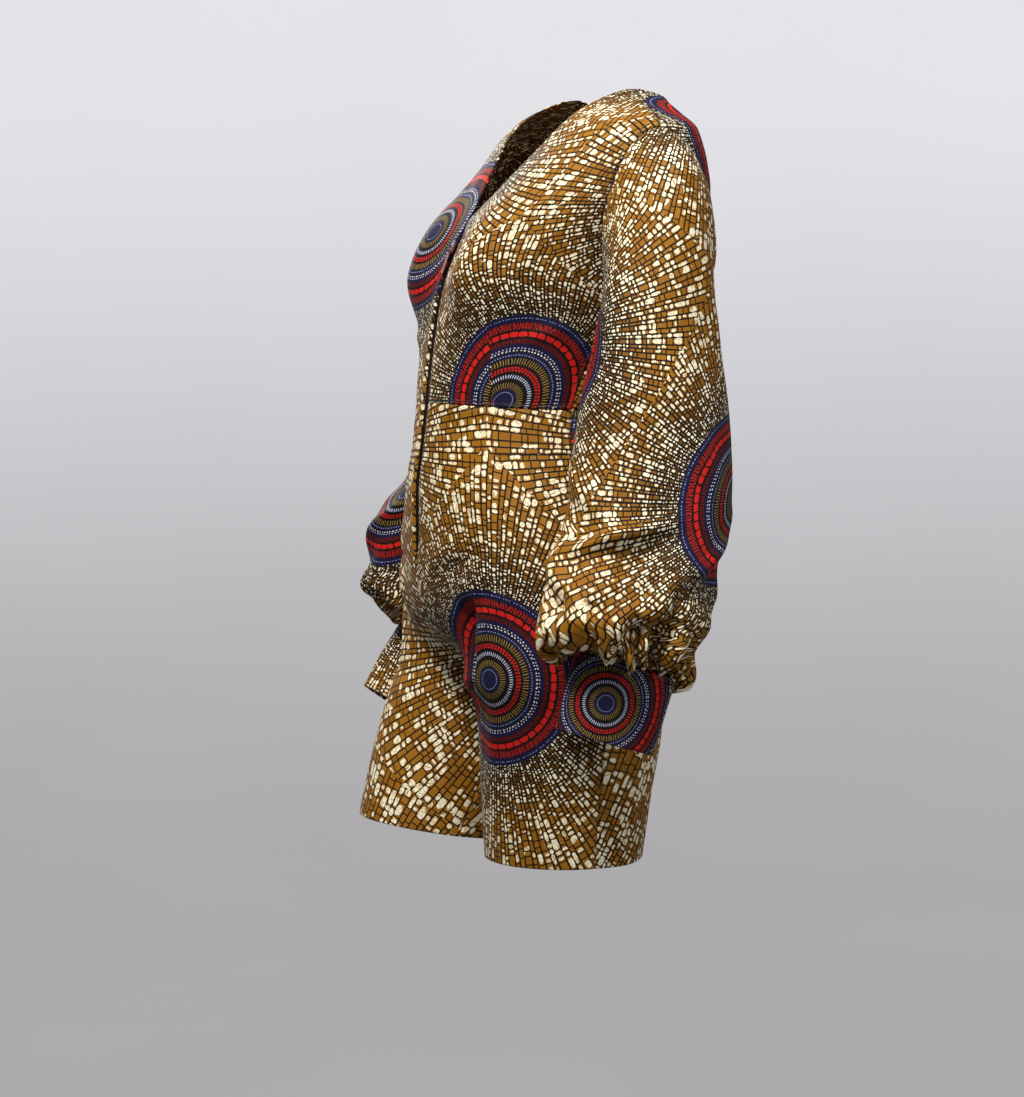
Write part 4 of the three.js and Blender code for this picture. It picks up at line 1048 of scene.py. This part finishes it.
    # Uneven dye, rubbed seams.
    dye = grain(60, 4)
    inked = blend((dye.ramp(0.35, 0.75)) * 0.14, inked, colour("5A4630"), "SOFT_LIGHT")
    worn = Num(tree, make(tree, "Attribute", {}, attribute_name="edge").outputs["Fac"])
    speck = grain(2.2, 3)
    pale = worn.ramp(1.4, 3.0) * (worn.ramp(3.2, 7.0) * -1 + 1) * speck.ramp(0.45, 0.7) * 0.22
    inked = blend(pale, inked, colour("CDBB96"))

    # Plain weave.
    warp, weft = ((x * (2 * math.pi / WEAVE)).math("SINE") for x in (u, v))
    thread = (warp * weft) * 0.5 + speck * 0.8
    inputs = {"Base Color": inked, "Normal": bumps(tree, thread, 0.35, 0.00018)}
    inputs |= {"Roughness": dye * 0.16 + speck * 0.1 + 0.5, "Specular IOR Level": 0.16}
    feed(tree, tree.nodes["Principled BSDF"], inputs | {"Sheen Weight": 0.03, "Sheen Roughness": 0.4})
    return mat


def plain(name, base, second, scale, rough, metal=0.0, bump_mm=0.05, weave=0.0):
    """A finish with uneven colour, gloss and surface."""
    mat, tree = material(name)
    where = make(tree, "TexCoord", {}).outputs["Object"]
    height = fine = fog(tree, where, scale * 9, 3)
    tone = blend(fog(tree, where, scale, 4).ramp(0.35, 0.7), colour(base), colour(second))
    if weave:
        x, _, z = split(tree, where)
        warp, weft = ((way * (2 * math.pi / weave)).math("SINE") for way in (x + z, z - x))
        height = warp * weft + fine
    inputs = {"Base Color": tone, "Roughness": fine * 0.25 + (rough - 0.12), "Metallic": metal}
    inputs |= {"Specular IOR Level": 0.5 if metal else 0.1, "Normal": bumps(tree, height, 0.3, bump_mm * MM)}
    feed(tree, tree.nodes["Principled BSDF"], inputs)
    return mat


PRINT = wax_print()
for piece in PIECES:
    piece.data.materials.append(PRINT)
METAL = plain("zip_enamel", "6E4A48", "8A6460", 400, 0.42, 0.55)
# The zip tape is near-black as painted shade, standing in for the dark shade in the slit between the front
# edges.
TAPE_PAINTED_SHADE = plain("zip_tape", "120D0E", "1E1617", 900, 0.85, bump_mm=0.12, weave=0.0009)
COIL = plain("zip_coil", "161011", "241B1C", 700, 0.5)
THREAD_LOOK = plain("sewing_thread", "7A5A1E", "A8884A", 1500, 0.7, bump_mm=0.04, weave=0.0006)
for node in ("zip_slider", "zip_pull"):
    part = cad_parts[node]
    part.data.materials.clear()
    part.data.materials.append(METAL)
for ob in THREADS:
    ob.data.materials.append(COIL if ob.name.startswith("coil") else THREAD_LOOK)
for side in ("left", "right"):
    bpy.data.objects["woven_zip_tape_" + side].data.materials.append(TAPE_PAINTED_SHADE)


# ---- Stage ----
VIEW_TURN, VIEW_RISE, VIEW_FAR, LENS = 68, 4.3, 3.0, 36 * 2790 / 1097
UP, MIDDLE = Vector((0, 0, 1)), Vector((0, -0.08, -0.38))
FLOOR_Z, COVE_REACH, COVE_ROUND = -1.9, 5.5, 2.5
turn, rise = math.radians(VIEW_TURN), math.radians(VIEW_RISE)
right = Vector((math.cos(turn), math.sin(turn), 0))
back = Vector((math.sin(turn) * math.cos(rise), -math.cos(turn) * math.cos(rise), math.sin(rise)))
upward = back.cross(right)
target = right * -0.0925 + upward * -0.463


def look(ob, place, way):
    z = -way.normalized()
    x = UP.cross(z).normalized()
    ob.matrix_world = Matrix((*zip(x, z.cross(x), z, place), (0, 0, 0, 1)))


cam = add_object("camera", bpy.data.cameras.new("camera"))
cam.data.lens, cam.data.sensor_width, cam.data.clip_end = LENS, 36, 50
look(cam, target + back * VIEW_FAR, -back)
bpy.context.scene.camera = cam


def lamp(name, side, up, out, size, power, tint=(1, 1, 1)):
    data = bpy.data.lights.new(name, "AREA")
    data.size, data.energy, data.color = size, power, tint
    place = MIDDLE + right * side + UP * up + back * out
    look(add_object(name, data), place, MIDDLE - place)


lamp("key", -0.75, 2.3, 1.6, 0.6, 106, (1, 0.985, 0.96))
lamp("fill", 1.9, 0.5, 1.8, 1.4, 17, (0.96, 0.98, 1))
lamp("top", 0.1, 2.0, 0.3, 1.4, 20)
lamp("behind", -0.9, 1.2, -2.2, 1.2, 30)

world = bpy.data.worlds.new("world")
bpy.context.scene.world = world
world.use_nodes = True
feed(world.node_tree, world.node_tree.nodes["Background"], {0: (0.86, 0.87, 0.92, 1), 1: 0.22})


def backdrop():
    """A pale studio cove: floor, rounded corner and wall, bright of itself as painted light, darker towards
    the floor as painted shade, and casting nothing.
    """
    around, corner = 96, np.linspace(0, np.pi / 2, 17)
    reach = np.concatenate([[0.02, 2.0], COVE_REACH + COVE_ROUND * np.sin(corner), [COVE_REACH + COVE_ROUND]])
    level = np.concatenate([[0, 0], COVE_ROUND * (1 - np.cos(corner)), [7]]) + FLOOR_Z
    angle = np.linspace(0, 2 * np.pi, around, endpoint=False)
    reach, level = reach[:, None], level[:, None]
    p = np.stack([reach * np.cos(angle), reach * np.sin(angle), level + 0 * angle], -1).reshape(-1, 3)
    faces = quads(len(reach), around, True).tolist() + [tuple(range(around))]
    ob = add_mesh("backdrop", p.tolist(), faces)
    ob.visible_diffuse = ob.visible_glossy = ob.visible_shadow = False
    mat, tree = material("backdrop")
    where = make(tree, "TexCoord", {}).outputs["Object"]
    # The glow is painted light: paler up the wall and darker lower down towards the floor as painted shade,
    # with a faint random mottle.
    shade = split(tree, where)[2].ramp(-2.3, 1.0) + (fog(tree, where, 0.8, 3) - 0.5) * 0.12
    glow = make(tree, "Emission", {"Color": blend(shade, colour("A9A7A9"), colour("E4E4E9"))})
    feed(tree, tree.nodes["Material Output"], {"Surface": glow.outputs[0]})
    ob.data.materials.append(mat)


backdrop()
bpy.context.scene.view_settings.view_transform = "Standard"
